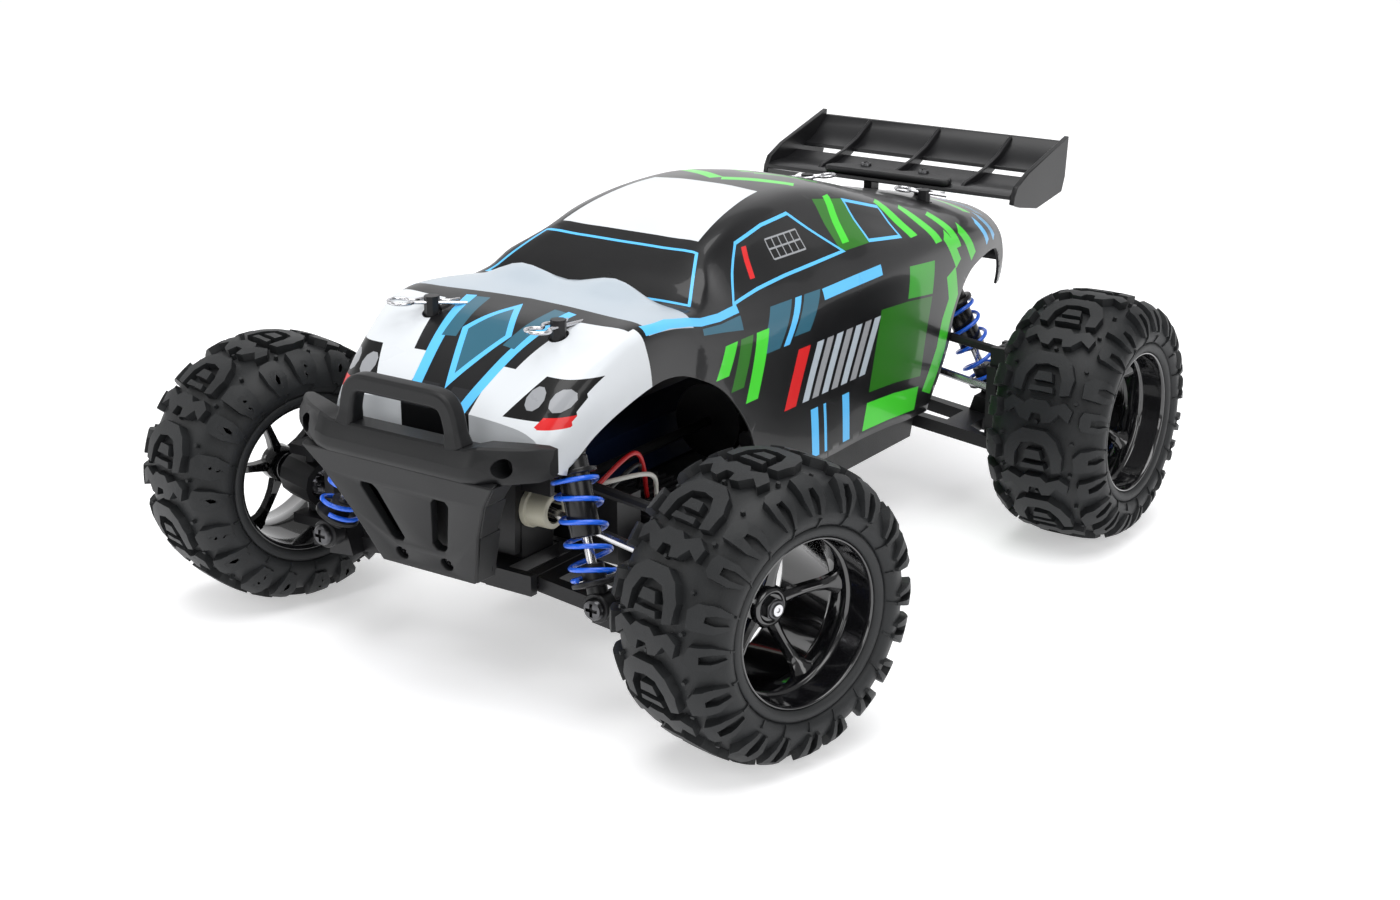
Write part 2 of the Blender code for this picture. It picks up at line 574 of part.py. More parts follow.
def build_wing():
    """Two-plane wing: front deck, raised flap, three ribs and two end plates."""
    deck = [(128.0, 110.0), (129.0, 112.0), (140.0, 111.9), (151.0, 113.8), (151.0, 111.9), (140.0, 110.0)]
    flap = [(156.4, 114.4), (155.6, 116.3), (164.0, 119.0), (172.4, 124.8), (173.2, 123.2), (165.0, 117.2)]
    rib = [(132.0, 111.2), (150.0, 114.6), (168.0, 121.6), (170.5, 121.6), (163.0, 116.0), (152.0, 111.4)]
    end_plate = [(128.0, 108.2), (129.6, 114.0), (140.0, 118.6), (173.2, 126.6), (171.0, 106.8),
                 (148.0, 103.8)]
    shapes = [prism(deck, "x", -52.6, 52.6), prism(flap, "x", -52.6, 52.6)]
    shapes += [prism(rib, "x", x - 1.1, x + 1.1) for x in (-31.0, 0.0, 31.0)]
    shapes += [prism(end_plate, "x", 52.0, 54.4), prism(end_plate, "x", -54.4, -52.0)]
    part("rear_wing", BLACK_PLASTIC, shapes)


# ---------------------------------------------------------------- body shell
# Each station: y, then (x, z) points up the left side, from the lower edge to the centre line.
STATIONS = [
    (-131, [(37, 77.5), (38, 79.5), (38.5, 81.5), (38.5, 83.5), (37.5, 85.5),
            (35.5, 87), (31, 88.5), (22, 89.5), (11, 90), (0, 90)]),
    (-127, [(39.5, 76.5), (40.5, 79), (41, 82), (41, 85), (40, 88),
            (38, 90.5), (33.5, 92.5), (24, 93.5), (12, 93.5), (0, 93.5)]),
    (-121, [(41, 74), (42, 78), (42.5, 82), (42.5, 87), (42, 91.5),
            (40, 95.5), (36, 98), (27, 98.5), (13, 98), (0, 98)]),
    (-112, [(42, 74), (43, 80), (43.8, 86), (44, 92), (43.5, 97.5),
            (42, 101.5), (38, 104.5), (29, 104.5), (14, 104), (0, 103.5)]),
    (-101, [(43, 76), (44, 83), (45, 89), (45.8, 96), (45.5, 102.5),
            (44.5, 107), (41, 109.5), (31, 109.3), (14, 109), (0, 109)]),
    (-90, [(43.5, 78), (44.8, 85), (46, 91), (46.8, 98), (46.6, 104.5),
           (45.5, 109.5), (41.5, 111.5), (31, 111.5), (15, 111.5), (0, 111.3)]),
    (-78, [(43.5, 74), (45, 84), (46.5, 91), (47, 98), (46.8, 104),
           (45.6, 109), (41.5, 111.3), (31, 112.3), (16, 113.5), (0, 113)]),
    (-67, [(43, 70), (45, 81), (46.5, 89), (47, 96), (46.6, 102),
           (45.2, 107), (41.5, 110), (32, 112), (18, 117), (0, 114.2)]),
    (-60.5, [(42.5, 62), (44.5, 76), (46, 86), (46.6, 94), (46.3, 100.5),
             (45, 105.5), (42.5, 109), (32, 109.2), (18, 109.2), (0, 109.2)]),
    (-50, [(42, 50), (44.2, 70), (45.8, 82), (46.4, 92), (46, 99),
           (44.5, 104.5), (41, 111), (36.5, 115), (18, 115.8), (0, 115.8)]),
    (-38, [(41.5, 41), (43.8, 60), (45.4, 76), (46.2, 88), (45.8, 97),
           (43.5, 104.5), (38, 112.5), (30.5, 121.4), (16, 122), (0, 122)]),
    (-24, [(41, 39.5), (43.5, 57), (45.2, 74), (46.2, 87), (45.8, 97),
           (42.5, 106), (36, 116), (29.5, 125.6), (15, 127.4), (0, 127.8)]),
    (-8, [(41, 39.3), (43.5, 56), (45.3, 73), (46.6, 87), (46.3, 97.5),
          (42.5, 107), (35.5, 118), (28.5, 128.2), (14.5, 130.4), (0, 130.8)]),
    (8, [(41, 39.2), (43.5, 56), (45.5, 73), (47.2, 87), (47, 98),
         (43, 107.5), (35.5, 118.5), (28, 129), (14, 131.4), (0, 131.8)]),
    (26, [(41, 39.2), (43.6, 56), (45.8, 73), (47.6, 88), (47.4, 98.5),
          (43.5, 108), (35.5, 118.5), (28, 128.4), (14, 130.8), (0, 131.2)]),
    (44, [(41, 39.4), (43.6, 56), (46, 73), (48, 88), (48, 99),
          (44.5, 108), (36.5, 117), (29, 125.5), (15, 128.2), (0, 128.8)]),
    (62, [(41.3, 39), (43.8, 55), (46, 72), (48.2, 87), (48.4, 98.5),
          (46, 106), (39.5, 112.5), (31, 120.3), (16, 123.6), (0, 124.3)]),
    (80, [(41.6, 38), (44, 53), (46, 70), (48, 85), (48.4, 97),
          (47, 104), (42, 109), (32, 115), (17, 118.4), (0, 119.2)]),
    (98, [(41.8, 40), (44, 52), (45.8, 68), (47.5, 83), (48, 94.5),
          (47, 101.5), (42.5, 106.5), (32, 111), (17, 113.6), (0, 114.4)]),
    (116, [(42, 60), (43.8, 68), (45, 76), (46.2, 85), (46.8, 93),
           (46, 99), (41.5, 104.5), (31, 108), (16, 110), (0, 110.6)]),
    (132, [(42, 70), (43, 76), (43.8, 82), (44.4, 88), (44.2, 94),
           (42.8, 98.5), (38, 102.5), (29, 105), (15, 106.5), (0, 107)]),
    (146, [(41, 75), (41.8, 79), (42.2, 83), (42, 88), (41, 92.5),
           (38.5, 96.5), (34, 100), (26, 102.5), (13, 103.5), (0, 104)]),
]
FRONT_ARCH = [(-122, 20), (-122, 76.8), (-112, 84), (-101, 89), (-88, 93), (-78, 93.5), (-68, 91),
              (-52, 83.5), (-41, 74.5), (-31, 63), (-25, 50), (-23.5, 20)]
REAR_ARCH = [(89.5, 20), (89.5, 38.4), (92.5, 45), (99, 60.5), (100.2, 71), (103.4, 79), (110, 86.3),
             (121, 89.5), (135, 90), (140, 86), (143, 77), (144, 68), (144, 20)]
TAIL_PANEL_FROM = 2       # the tail panel starts at this point of the last station


def shell_surface():
    """Outer skin as one open sheet: rows across the truck, then a nose panel and a tail panel."""
    points, faces = [], []
    for y, half in STATIONS:
        row = [(x, z) for x, z in half] + [(-x, z) for x, z in reversed(half[:-1])]
        points += [Vector((x, y, z)) for x, z in row]
    across = 2 * len(STATIONS[0][1]) - 1
    for i in range(len(STATIONS) - 1):
        for k in range(across - 1):
            a = i * across + k
            faces.append((a, a + 1, a + across + 1, a + across))
    last = (len(STATIONS) - 1) * across
    crown = across // 2 - 2
    for k in range(crown):
        faces.append((k, across - 1 - k, across - 2 - k, k + 1))
        if k >= TAIL_PANEL_FROM:
            faces.append((last + k + 1, last + across - 2 - k, last + across - 1 - k, last + k))
    faces.append(tuple(range(crown, across - crown)))
    faces.append(tuple(last + k for k in reversed(range(crown, across - crown))))
    return points, faces, [True] * len(faces)


def build_shell():
    """Thin painted body with wheel arches, post holes and slots for the wing uprights."""
    obj = bpy.data.objects.new("body_shell", mesh_of("body_shell", shell_surface()))
    bpy.context.scene.collection.objects.link(obj)
    paint(obj, *SHELL_PAINT)
    wall = obj.modifiers.new("wall", "SOLIDIFY")
    wall.thickness = SHELL_WALL * MM
    wall.offset = -1.0
    wall.use_even_offset = True
    cuts = [prism(FRONT_ARCH, "x", -60, 60), prism(REAR_ARCH, "x", -60, 60)]
    for side in (1, -1):
        for x, y in (FRONT_POST, REAR_POST):
            cuts.append(rod((x * side, y, 95), (x * side, y, 120), 3.0))
        cuts.append(box_between((8.3 * side, 134, 96), (13.7 * side, 141.6, 115)))
    for number, shape in enumerate(cuts):
        modifier = obj.modifiers.new(f"cut_{number}", "BOOLEAN")
        modifier.operation = "DIFFERENCE"
        modifier.solver = "EXACT"
        modifier.object = helper(f"tool_body_shell_{number}", shape)


# ---------------------------------------------------------------- power train
def build_power():
    part("battery", BATTERY_BLUE, [box((-34.4, -52, 31.0), (-15.5, 52, 48.0))])
    spur_r = GEAR_MODULE * SPUR_TEETH / 2
    pinion_r = GEAR_MODULE * PINION_TEETH / 2
    spread = spur_r + pinion_r + 0.3
    motor_x, motor_z = spread * math.cos(math.radians(-14)), SHAFT_Z + spread * math.sin(math.radians(-14))
    can = [(0, 17), (4.0, 17), (4.0, 18), (9.4, 18), (9.4, 46), (4.0, 46), (4.0, 48), (0, 48)]
    lying = Matrix.Translation(Vector((motor_x, 0, motor_z))) @ Matrix.Rotation(math.radians(-90), 4, "X")
    bore = rod((motor_x, 8, motor_z), (motor_x, 24, motor_z), 1.4, 8)
    part("motor", STEEL, [lathe(can, 16, lying)], [bore])
    pinion = [(0, 9), (pinion_r, 9), (pinion_r, 14), (1.0, 14), (1.0, 22), (0, 22)]
    part("motor_pinion", STEEL, [lathe(pinion, 12, lying)], pivot=(motor_x, 9, motor_z))
    ends = HALF_BASE - 9.5
    along = Matrix.Translation(Vector((0, 0, SHAFT_Z))) @ Matrix.Rotation(math.radians(-90), 4, "X")
    shaft = [(0, -ends), (1.7, -ends), (1.7, 9.4), (spur_r, 9.4), (spur_r, 13.6), (1.7, 13.6),
             (1.7, ends), (0, ends)]
    part("centre_shaft", GEAR_CREAM, [lathe(shaft, 20, along)], pivot=(0, 11.5, SHAFT_Z))


# ---------------------------------------------------------------- build
def main():
    for obj in list(bpy.data.objects):
        bpy.data.objects.remove(obj, do_unlink=True)
    build_chassis()
    build_gearbox("front_gearbox", -1)
    build_gearbox("rear_gearbox", 1)
    build_tower("front_tower", -1, posts=True)
    build_tower("rear_tower", 1, posts=False)
    build_rear_mount()
    build_bumper()
    build_wing()
    build_shell()
    build_power()
    build_steering()
    for corner, (side, end) in CORNERS.items():
        build_wheel(corner, side, end)
        build_arm(corner, side, end)
        build_carrier(corner, side, end)
        build_link(corner, side, end)
        build_shock(corner, side, end)
        build_dogbone(corner, side, end)
        if end < 0:
            build_knuckle(corner, side)


main()
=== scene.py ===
import math

import bmesh
import bpy
from mathutils import Matrix, Vector


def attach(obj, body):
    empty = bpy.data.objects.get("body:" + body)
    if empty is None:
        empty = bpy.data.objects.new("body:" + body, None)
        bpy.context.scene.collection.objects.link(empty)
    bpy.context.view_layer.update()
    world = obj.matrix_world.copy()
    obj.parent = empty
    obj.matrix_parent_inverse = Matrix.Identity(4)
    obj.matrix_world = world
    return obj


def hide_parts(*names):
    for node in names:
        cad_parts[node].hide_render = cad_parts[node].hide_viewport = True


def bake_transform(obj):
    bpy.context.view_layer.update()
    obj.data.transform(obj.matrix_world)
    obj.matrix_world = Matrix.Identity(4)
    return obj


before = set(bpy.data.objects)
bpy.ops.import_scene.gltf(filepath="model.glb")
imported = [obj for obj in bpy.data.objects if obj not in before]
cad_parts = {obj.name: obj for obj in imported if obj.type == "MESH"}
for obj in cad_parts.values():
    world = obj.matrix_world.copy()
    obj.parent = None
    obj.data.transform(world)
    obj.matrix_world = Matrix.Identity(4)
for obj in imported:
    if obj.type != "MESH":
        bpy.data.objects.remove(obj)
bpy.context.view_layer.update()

# Looks of the radio-controlled monster truck. Lengths are millimetres in the truck's frame (+Z up, nose
# towards -Y, left side +X, floor at z = 0) and are scaled to metres when a mesh is made.
MM = 0.001

HALF_BASE = 102.65          # axle line to the middle of the wheelbase
WHEEL_X = 99.1
AXLE_Z = 44.0
KINGPIN_INSET = 22.0
KINGPIN_X = WHEEL_X - KINGPIN_INSET
REST_STEER = math.radians(-15.0)
CORNERS = {"fl": (1, -1), "fr": (-1, -1), "rl": (1, 1), "rr": (-1, 1)}
SPOKE_PHASE = {"fl": 25.0, "fr": 56.0, "rl": 52.0, "rr": 20.0}


# ---------------------------------------------------------------- materials
def material(name, colour, roughness, metallic=0.0, mottle=0.12, patch=60.0, grain=0.0, grain_size=0.4,
             coat=0.0, specular=0.5, rough_drift=0.06):
    """Principled material whose colour and roughness drift over patches, with a fine bump for its grain.

    patch is noise cells per metre, grain the bump's depth in mm and grain_size its cell size in mm."""
    made = bpy.data.materials.new(name)
    made.use_nodes = True
    nodes, links = made.node_tree.nodes, made.node_tree.links
    shader = nodes["Principled BSDF"]
    shader.inputs["Metallic"].default_value = metallic
    shader.inputs["Coat Weight"].default_value = coat
    shader.inputs["Coat Roughness"].default_value = 0.04
    shader.inputs["Specular IOR Level"].default_value = specular
    place = nodes.new("ShaderNodeTexCoord")
    drift = nodes.new("ShaderNodeTexNoise")
    drift.inputs["Scale"].default_value = patch
    drift.inputs["Detail"].default_value = 5.0
    links.new(place.outputs["Object"], drift.inputs["Vector"])
    tone = nodes.new("ShaderNodeMix")
    tone.data_type = "RGBA"
    dark, light = [next(k for k in tone.inputs if k.identifier == name) for name in ("A_Color", "B_Color")]
    dark.default_value = (*[c * (1 - mottle) for c in colour], 1)
    light.default_value = (*[min(1, c * (1 + mottle)) for c in colour], 1)
    links.new(drift.outputs["Fac"], tone.inputs["Factor"])
    links.new(next(k for k in tone.outputs if k.identifier == "Result_Color"), shader.inputs["Base Color"])
    gloss = nodes.new("ShaderNodeMapRange")
    gloss.inputs["To Min"].default_value = max(0.02, roughness - rough_drift)
    gloss.inputs["To Max"].default_value = roughness + rough_drift
    links.new(drift.outputs["Fac"], gloss.inputs["Value"])
    links.new(gloss.outputs["Result"], shader.inputs["Roughness"])
    if grain:
        fine = nodes.new("ShaderNodeTexNoise")
        fine.inputs["Scale"].default_value = 1000.0 / grain_size
        fine.inputs["Detail"].default_value = 3.0
        links.new(place.outputs["Object"], fine.inputs["Vector"])
        bump = nodes.new("ShaderNodeBump")
        bump.inputs["Distance"].default_value = grain * MM
        bump.inputs["Strength"].default_value = 1.0
        links.new(fine.outputs["Fac"], bump.inputs["Height"])
        links.new(bump.outputs["Normal"], shader.inputs["Normal"])
    return made


RUBBER = material("tyre rubber", (0.0125, 0.0135, 0.0145), 0.5, mottle=0.35, patch=90, grain=0.05,
                  grain_size=0.5, specular=0.3)
BEAD_RUBBER = material("bead rubber", (0.018, 0.019, 0.02), 0.5, mottle=0.2, patch=70, grain=0.02,
                       specular=0.3)
WHEEL_GLOSS = material("wheel gloss", (0.006, 0.006, 0.007), 0.1, mottle=0.2, patch=40, coat=1.0,
                       rough_drift=0.03)
PLASTIC = material("black plastic", (0.01, 0.01, 0.011), 0.38, mottle=0.25, patch=70, grain=0.03,
                   grain_size=0.35, specular=0.3)
BUMPER_PLASTIC = material("bumper plastic", (0.006, 0.0063, 0.007), 0.46, mottle=0.15, patch=50, grain=0.035,
                          grain_size=0.3, specular=0.3)
WING_PLASTIC = material("wing plastic", (0.009, 0.009, 0.01), 0.3, mottle=0.2, patch=50, grain=0.015,
                        specular=0.35)
STEEL = material("bright steel", (0.62, 0.62, 0.64), 0.24, metallic=1.0, mottle=0.1, patch=300, grain=0.004)
DARK_STEEL = material("dark steel", (0.1, 0.1, 0.105), 0.32, metallic=1.0, mottle=0.15, patch=300)
SPRING_BLUE = material("spring blue", (0.012, 0.13, 0.78), 0.28, mottle=0.12, patch=200, coat=0.6)
NYLON = material("cream nylon", (0.55, 0.53, 0.42), 0.4, mottle=0.12, patch=150, grain=0.01)
SHOCK_GLOSS = material("shock gloss", (0.008, 0.008, 0.009), 0.24, mottle=0.2, patch=60, specular=0.4)
WIRE_RED = material("red wire", (0.5, 0.012, 0.015), 0.35, mottle=0.1, patch=100)
WIRE_BLACK = material("black wire", (0.012, 0.012, 0.012), 0.35, mottle=0.2, patch=100)
WIRE_WHITE = material("white wire", (0.55, 0.54, 0.5), 0.35, mottle=0.1, patch=100)
BATTERY_WRAP = material("battery wrap", (0.01, 0.02, 0.06), 0.3, mottle=0.15, patch=60, coat=0.5)


def rgb(red, green, blue):
    """Linear colour of a screen colour given as three numbers from 0 to 255."""
    shares = [value / 255 for value in (red, green, blue)]
    return tuple(s / 12.92 if s <= 0.04045 else ((s + 0.055) / 1.055) ** 2.4 for s in shares)


def paint(name, colour, mottle=0.06):
    return material(f"{name} paint", colour, 0.3, mottle=mottle, patch=45, grain=0.004, grain_size=0.9,
                    coat=0.3, specular=0.25)


# The last one also covers the inside of the shell.
PAINTS = {
    "base": paint("base", rgb(15, 15, 17), 0.2),
    "black": paint("black", rgb(10, 10, 11), 0.2),
    "white": paint("white", rgb(217, 221, 225)),
    "pale": paint("pale", rgb(176, 186, 195)),
    "silver": paint("silver", rgb(150, 152, 156)),
    "sky": paint("sky blue", rgb(92, 190, 248)),
    "teal": paint("teal", rgb(44, 96, 116)),
    "green": paint("bright green", rgb(70, 215, 50)),
    "mid_green": paint("mid green", rgb(50, 165, 35)),
    "dark_green": paint("dark green", rgb(38, 112, 20)),
    "red": paint("red", rgb(214, 36, 38)),
    "glass": paint("window", rgb(12, 12, 14), 0.2),
    "mesh": paint("grille", rgb(34, 35, 38), 0.3),
    "inside": material("shell inside", (0.012, 0.012, 0.013), 0.5, mottle=0.2, patch=50, grain=0.01),
}


# ---------------------------------------------------------------- mesh helpers
def make(name, work, materials, body, smooth_below=40.0, replaces=(), bevel=0.0):
    """Makes a piece that rides on a body from a bmesh in mm. Edges sharper than the angle stay crisp."""
    bmesh.ops.remove_doubles(work, verts=work.verts, dist=1e-4)
    bmesh.ops.recalc_face_normals(work, faces=work.faces)
    limit = math.radians(smooth_below)
    for face in work.faces:
        face.smooth = True
    for edge in work.edges:
        edge.smooth = len(edge.link_faces) != 2 or edge.calc_face_angle(0.0) < limit
    bmesh.ops.scale(work, vec=(MM, MM, MM), verts=work.verts)
    mesh = bpy.data.meshes.new(name)
    work.to_mesh(mesh)
    work.free()
    obj = bpy.data.objects.new(name, mesh)
    bpy.context.scene.collection.objects.link(obj)
    for finish in materials:
        mesh.materials.append(finish)
    if bevel:
        soften(obj, bevel)
    if body:
        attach(obj, body)
    if replaces:
        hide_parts(*replaces)
    return obj


def soften(obj, width, segments=2, angle=32.0):
    """Rounds the hard edges a little, so that they catch the light as moulded ones do."""
    bevel = obj.modifiers.new("edges", "BEVEL")
    bevel.width = width * MM
    bevel.segments = segments
    bevel.limit_method = "ANGLE"
    bevel.angle_limit = math.radians(angle)
    bevel.harden_normals = False


def ring_rows(work, rows, closed_round=True, closed_along=False):
    """Joins successive rows of points with faces, each row going round the shape, and returns the rows."""
    made = [[work.verts.new(p) for p in row] for row in rows]
    pairs = list(zip(made, made[1:]))
    if closed_along:
        pairs.append((made[-1], made[0]))
    for low, high in pairs:
        count = len(low)
        for i in range(count if closed_round else count - 1):
            j = (i + 1) % count
            work.faces.new((low[i], low[j], high[j], high[i]))
    return made


def cap_ends(work, made):
    """Closes the first and the last ring of a run of rings."""
    work.faces.new(list(reversed(made[0])))
    work.faces.new(made[-1])


def add_box_faces(work, points):
    """Six faces on eight corners: four round one end, then four round the other."""
    corners = [work.verts.new(p) for p in points]
    for quad in ((0, 1, 2, 3), (7, 6, 5, 4), (0, 4, 5, 1), (1, 5, 6, 2), (2, 6, 7, 3), (3, 7, 4, 0)):
        work.faces.new([corners[i] for i in quad])


def lathe(work, profile, segments, matrix, closed=True):
    """Turns (radius, height) points about the matrix's Z axis."""
    rows = []
    for radius, height in profile:
        reach = max(radius, 0.01)
        angles = [2 * math.pi * i / segments for i in range(segments)]
        rows.append([matrix @ Vector((reach * math.cos(a), reach * math.sin(a), height)) for a in angles])
    ring_rows(work, rows, closed_along=closed)


def frame_along(start, direction):
    turn = Vector((0, 0, 1)).rotation_difference(Vector(direction).normalized()).to_matrix().to_4x4()
    return Matrix.Translation(Vector(start)) @ turn


def sweep(work, path, radius, segments=10):
    """Round bar along a path of points."""
    path = [Vector(p) for p in path]
    rows = []
    side = None
    for i, here in enumerate(path):
        along = (path[min(i + 1, len(path) - 1)] - path[max(i - 1, 0)]).normalized()
        side = along.orthogonal() if side is None else side - along * side.dot(along)
        side.normalize()
        up = along.cross(side)
        angles = [2 * math.pi * k / segments for k in range(segments)]
        rows.append([here + radius * (math.cos(a) * side + math.sin(a) * up) for a in angles])
    made = ring_rows(work, rows)
    cap_ends(work, made)


def smooth_path(points, steps=6):
    """Catmull-Rom curve through the points."""
    points = [Vector(p) for p in points]
    ends = [2 * points[0] - points[1]] + points + [2 * points[-1] - points[-2]]
    path = []
    for i in range(1, len(ends) - 2):
        a, b, c, d = ends[i - 1:i + 3]
        for k in range(steps):
            path.append(catmull(a, b, c, d, k / steps))
    path.append(points[-1])
    return path


def catmull(a, b, c, d, t):
    """Point at t from 0 to 1 on the curve from b to c. The points may be numbers or vectors."""
    bend, twist = 2 * a - 5 * b + 4 * c - d, 3 * b - a - 3 * c + d
    return 0.5 * (2 * b + (c - a) * t + bend * t * t + twist * t ** 3)


def slab(work, outline, place, thickness):
    """Flat outline of (a, b) points on the matrix's XY plane, extruded along its Z axis by the thickness."""
    low = [work.verts.new(place @ Vector((a, b, 0))) for a, b in outline]
    high = [work.verts.new(place @ Vector((a, b, thickness))) for a, b in outline]
    work.faces.new(low)
    work.faces.new(list(reversed(high)))
    for i in range(len(outline)):
        j = (i + 1) % len(outline)
        work.faces.new((low[i], high[i], high[j], low[j]))


# ---------------------------------------------------------------- wheels
def wheel_matrix(side, end):
    """Wheel frame: Z along the spin axis pointing outwards, origin in the middle of the tyre."""
    steer = REST_STEER if end < 0 else 0.0
    kingpin = Matrix.Translation(Vector((side * KINGPIN_X, end * HALF_BASE, AXLE_Z)))
    offset = Matrix.Translation(Vector((side * KINGPIN_INSET, 0, 0)))
    outwards = Matrix.Rotation(math.radians(90 * side), 4, "Y")
    return kingpin @ Matrix.Rotation(steer, 4, "Z") @ offset @ outwards


TREAD_R = 43.7
LUG_UNITS = 10
# Half section of the tyre's carcass: distance from the middle plane, radius.
CARCASS = [(0, 41.0), (6, 40.9), (11.5, 40.2), (15.8, 38.4), (18.9, 35.8), (20.6, 32.9), (20.9, 30.6),
           (20.2, 28.9), (19.2, 28.2)]


class Contour:
    """The carcass section measured by distance along it from the crown."""

    def __init__(self, points):
        line = smooth_path([Vector((a, r, 0)) for a, r in points], 8)
        self.points = line
        self.reach = [0.0]
        for before, after in zip(line, line[1:]):
            self.reach.append(self.reach[-1] + (after - before).length)

    def at(self, distance, height):
        """(distance from the middle plane, radius) at a height above the carcass."""
        away = min(abs(distance), self.reach[-1] - 1e-3)
        i = max(k for k, r in enumerate(self.reach[:-1]) if r <= away)
        share = (away - self.reach[i]) / (self.reach[i + 1] - self.reach[i])
        here = self.points[i].lerp(self.points[i + 1], share)
        first, last = self.points[max(i - 1, 0)], self.points[min(i + 2, len(self.points) - 1)]
        along = (last - first).normalized()
        normal = Vector((-along.y, along.x, 0))
        here = here + normal * height
        return math.copysign(here.x, distance), here.y


def mirrored(half):
    """Closes a half outline of (across, along) points with its mirror image."""
    return half + [(-u, s) for u, s in reversed(half) if u > 0.01]


HORSESHOE = mirrored([(0, 9.6), (4.4, 9.6), (8.4, 6.4), (10.6, 1.2), (10.2, -4.8), (7.0, -5.6), (6.6, 0.2),
                      (4.4, 4.4), (0, 5.4)])
HORSESHOE_CORE = mirrored([(0, 2.4), (2.7, 2.2), (3.6, -1.2), (0, -1.2)])
HORSESHOE_BAR = mirrored([(0, -2.9), (4.2, -2.9), (4.7, -4.9), (0, -4.9)])
WINGED_BLOCK = mirrored([(0, -7.6), (3.0, -7.4), (5.0, -9.4), (9.4, -7.4), (12.2, -9.8), (11.4, -14.0),
                         (8.2, -11.6), (5.6, -15.0), (2.6, -15.6), (1.9, -12.6), (0, -12.6)])
SHOULDER_CLAW = [(13.6, -4.6), (13.2, 1.0), (15.4, 3.6), (20.4, 4.4), (24.6, 2.8), (24.6, 1.3), (20.2, 1.5),
                 (17.6, 0.4), (17.6, -1.6), (20.4, -2.3), (24.4, -1.7), (24.4, -3.2), (20.4, -5.0)]
SHOULDER_FORK = [(14.2, -11.4), (15.0, -9.2), (20.6, -8.8), (25.4, -10.6), (25.4, -11.9), (20.4, -11.0),
                 (17.4, -11.8), (17.4, -14.4), (20.4, -14.8), (24.8, -13.9), (24.8, -15.4), (20.2, -17.0),
                 (15.2, -16.4), (14.2, -14.8)]
TREAD_DOTS = [(12.9, 5.6), (12.4, -6.9), (0.0, 12.0)]
SIDE_RIBS = [[(25.4, 2.6), (28.2, 1.4), (28.2, 0.8), (25.4, 1.5)],
             [(25.2, -10.8), (28.4, -12.4), (28.4, -13.0), (25.2, -11.9)]]


def lug_height(across):
    """Lugs stand tallest on the tread and fade out down the side wall."""
    away = abs(across)
    if away < 18.0:
        return 2.75
    return max(0.5, 2.75 - (away - 18.0) * 0.27)


def add_lug(work, outline, contour, place, turn, direction, tall=1.0):
    """Raises one lug from its outline on the unrolled tread and wraps it round the tyre."""
    flat = bmesh.new()
    face = flat.faces.new([flat.verts.new((u, s, 0)) for u, s in outline])
    bmesh.ops.triangulate(flat, faces=[face])
    for axis, step in ((0, 2.6), (1, 4.5)):
        low = min(v.co[axis] for v in flat.verts)
        high = max(v.co[axis] for v in flat.verts)
        cut = low + step
        while cut < high - 0.4:
            point, normal = Vector(), Vector()
            point[axis], normal[axis] = cut, 1.0
            everything = flat.verts[:] + flat.edges[:] + flat.faces[:]
            bmesh.ops.bisect_plane(flat, geom=everything, plane_co=point, plane_no=normal)
            cut += step
    bmesh.ops.remove_doubles(flat, verts=flat.verts, dist=0.02)
    centre = Vector((sum(p[0] for p in outline), sum(p[1] for p in outline), 0)) / len(outline)
    rim = {v for e in flat.edges if len(e.link_faces) == 1 for v in e.verts}
    tops, feet = {}, {}
    for vert in flat.verts:
        inward = (centre - vert.co).normalized() * 0.25 if vert in rim else Vector()
        for level, store, shift in ((1.0, tops, inward), (0.0, feet, Vector())):
            if level == 0.0 and vert not in rim:
                continue
            across, along = vert.co.x + shift.x, vert.co.y + shift.y
            height = lug_height(across) * tall * level - (0.3 if level == 0.0 else 0.0)
            axial, radius = contour.at(across, height)
            angle = turn + direction * along / TREAD_R
            spot = Vector((radius * math.cos(angle), radius * math.sin(angle), axial))
            store[vert] = work.verts.new(place @ spot)
    for face in flat.faces:
        work.faces.new([tops[v] for v in face.verts])
    for edge in flat.edges:
        if len(edge.link_faces) == 1:
            a, b = edge.verts
            work.faces.new((tops[a], tops[b], feet[b], feet[a]))
    flat.free()


def add_dot(work, across, along, contour, place, turn, direction):
    """Small round stud between the lugs."""
    ring = [(across + 0.85 * math.cos(2 * math.pi * i / 10), along + 0.85 * math.sin(2 * math.pi * i / 10))
            for i in range(10)]
    add_lug(work, ring, contour, place, turn, direction, 0.55)


